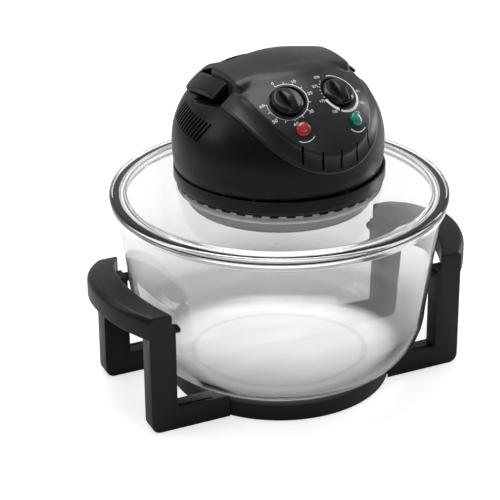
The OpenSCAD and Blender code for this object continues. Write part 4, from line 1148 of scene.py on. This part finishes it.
def bail_section(near, far, heights):
    """The handle's section between its rails, cut off by the dome that its outer face follows."""
    near, far = np.array(near), np.array(far)
    width = np.linalg.norm(far - near)
    across = (far - near) / width
    tilt = radians(-BAIL_SLOPE)
    reach = []
    for w in heights:
        u = np.linspace(0, width, 160)
        x, y = near[0] + across[0] * u, near[1] + across[1] * u
        hy = PIVOT[1] + y * cos(tilt) - w * sin(tilt)
        hz = PIVOT[2] + y * sin(tilt) + w * cos(tilt)
        inside = dome_field(x, hy, hz) < BAIL_PROUD
        reach.append(u[inside].max() if inside.any() else 0.0)
    reach = np.array(reach)
    keep = reach > 0.6
    outline = [(0.0, heights[0])] + [(r, w) for r, w, k in zip(reach, heights, keep) if k]
    outline.append((0.0, heights[keep].max()))
    return across, outline


def build_handle():
    outer, inner = bail_rails()
    heights = np.linspace(-BAIL_T / 2, BAIL_T / 2, 40)
    rows = []
    for far, near in zip(outer, inner):
        across, outline = bail_section(near, far, heights)
        soft = softened(outline, 84, 0.6)
        rows.append(np.array([(near[0] + across[0] * u, near[1] + across[1] * u, w) for u, w in soft]))
    bail = loft("carrying_handle", with_ends(rows, 1.8), BAIL)
    dress(bail, HEAD_BLACK, "handle", "handle_plastic", "carry_handle")


def with_ends(rows, radius):
    """The rows of a loft with both of its ends rounded off."""
    first, last = (close_end(rows[a], rows[b], radius) for a, b in ((0, 1), (-1, -2)))
    return first[::-1] + rows[1:-1] + last


def close_end(row, neighbour, radius):
    """Rows that round a loft off at its end, from just inside to the end face."""
    along = (row - neighbour) / np.linalg.norm((row - neighbour).mean(axis=0))
    centre = row.mean(axis=0)
    inward = centre - row
    inward /= np.linalg.norm(inward, axis=1)[:, None]
    made = []
    for a in np.radians([0, 25, 50, 75, 90]):
        made.append(row + along * radius * (sin(a) - 1) + inward * radius * (1 - cos(a)))
    return made


# ---------- stage

def build_world():
    """Soft light from above and behind, dark in front, and a white background."""
    world = bpy.data.worlds.new("studio")
    bpy.context.scene.world = world
    world.use_nodes = True
    w = Nodes(world.node_tree)
    light = w.tree.nodes["Background"]
    light.inputs["Color"].default_value = (0.95, 0.97, 1.0, 1)
    toward = w.node("ShaderNodeVectorMath", operation="DOT_PRODUCT")
    toward.inputs[1].default_value = WORLD_TOWARD
    w.link(w.node("ShaderNodeTexCoord").outputs["Generated"], toward.inputs[0])
    strength = w.node("ShaderNodeMapRange", interpolation_type="SMOOTHSTEP", From_Min=-0.35, From_Max=0.8,
                      To_Min=WORLD_DARK, To_Max=WORLD_LIGHT)
    w.link(toward.outputs["Value"], strength.inputs["Value"])
    w.link(strength.outputs["Result"], light.inputs["Strength"])
    white = w.node("ShaderNodeBackground", Color=(1, 1, 1, 1), Strength=1.0)
    result = w.mix(w.seen_or_through(), light.outputs["Background"], white.outputs["Background"])
    w.link(result, w.tree.nodes["World Output"].inputs["Surface"])


def build_floor():
    """A pale floor that keeps the shadow and looks nearly white."""
    s = Shader("floor_white")
    s.follow("Base Color", s.colours(s.noise(3.0), (0.8, 0.8, 0.8), (0.82, 0.82, 0.82)))
    s.set(Roughness=0.9)
    dark, bright = (s.node("ShaderNodeEmission", Strength=strength).outputs["Emission"]
                    for strength in (0.0, FLOOR_LIGHT))
    add = s.node("ShaderNodeAddShader")
    s.link(s.base.outputs["BSDF"], add.inputs[0])
    s.link(s.mix(s.seen_or_through(), dark, bright), add.inputs[1])
    s.link(add.outputs["Shader"], s.out.inputs["Surface"])
    r = FLOOR_HALF
    floor = mesh_object("floor", [(-r, -r, 0), (r, -r, 0), (r, r, 0), (-r, r, 0)], [(0, 1, 2, 3)])
    floor.data.materials.append(s.material)


def build_lights():
    for name, place, size, power in SOFTBOXES:
        data = bpy.data.lights.new(name, "AREA")
        data.shape = "RECTANGLE"
        data.size, data.size_y = size
        data.energy = power
        obj = new_object(name, data)
        obj.location = place
        obj.rotation_euler = (Vector(LIT_POINT) - Vector(place)).to_track_quat("-Z", "Y").to_euler()


def build_camera():
    """A camera at the photograph's angle, with its focal length and centre in pixels."""
    focal_px, frame_px, sensor = 1840.36, 500.0, 36.0
    principal = (279.35, 231.81)
    turn, rise = radians(25.76), radians(25.0)
    place = Vector((-712.5, -1476.5, 914.3)) * MM
    level = cos(rise)
    forward = Vector((sin(turn) * level, cos(turn) * level, -sin(rise)))
    data = bpy.data.cameras.new("photo_camera")
    data.sensor_width = sensor
    data.lens = sensor * focal_px / frame_px
    data.shift_x = (frame_px / 2 - principal[0]) / frame_px
    data.shift_y = (principal[1] - frame_px / 2) / frame_px
    data.clip_end = 50
    obj = new_object("photo_camera", data)
    obj.location = place
    obj.rotation_euler = forward.to_track_quat("-Z", "Y").to_euler()
    bpy.context.scene.camera = obj


def dress_cad():
    """Gives each CAD node that stays in sight its material."""
    for look, nodes in NODE_LOOKS.items():
        for node in nodes.split():
            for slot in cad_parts[node].material_slots:
                slot.material = PLAIN[look]


build_camera()
build_world()
build_floor()
build_lights()
dress_cad()
build_stand()
build_bowl()
build_lid()
build_heater()
build_head()
build_base()
build_lamps()
build_knobs()
build_prints()
build_handle()

bpy.context.scene.view_settings.view_transform = "Standard"
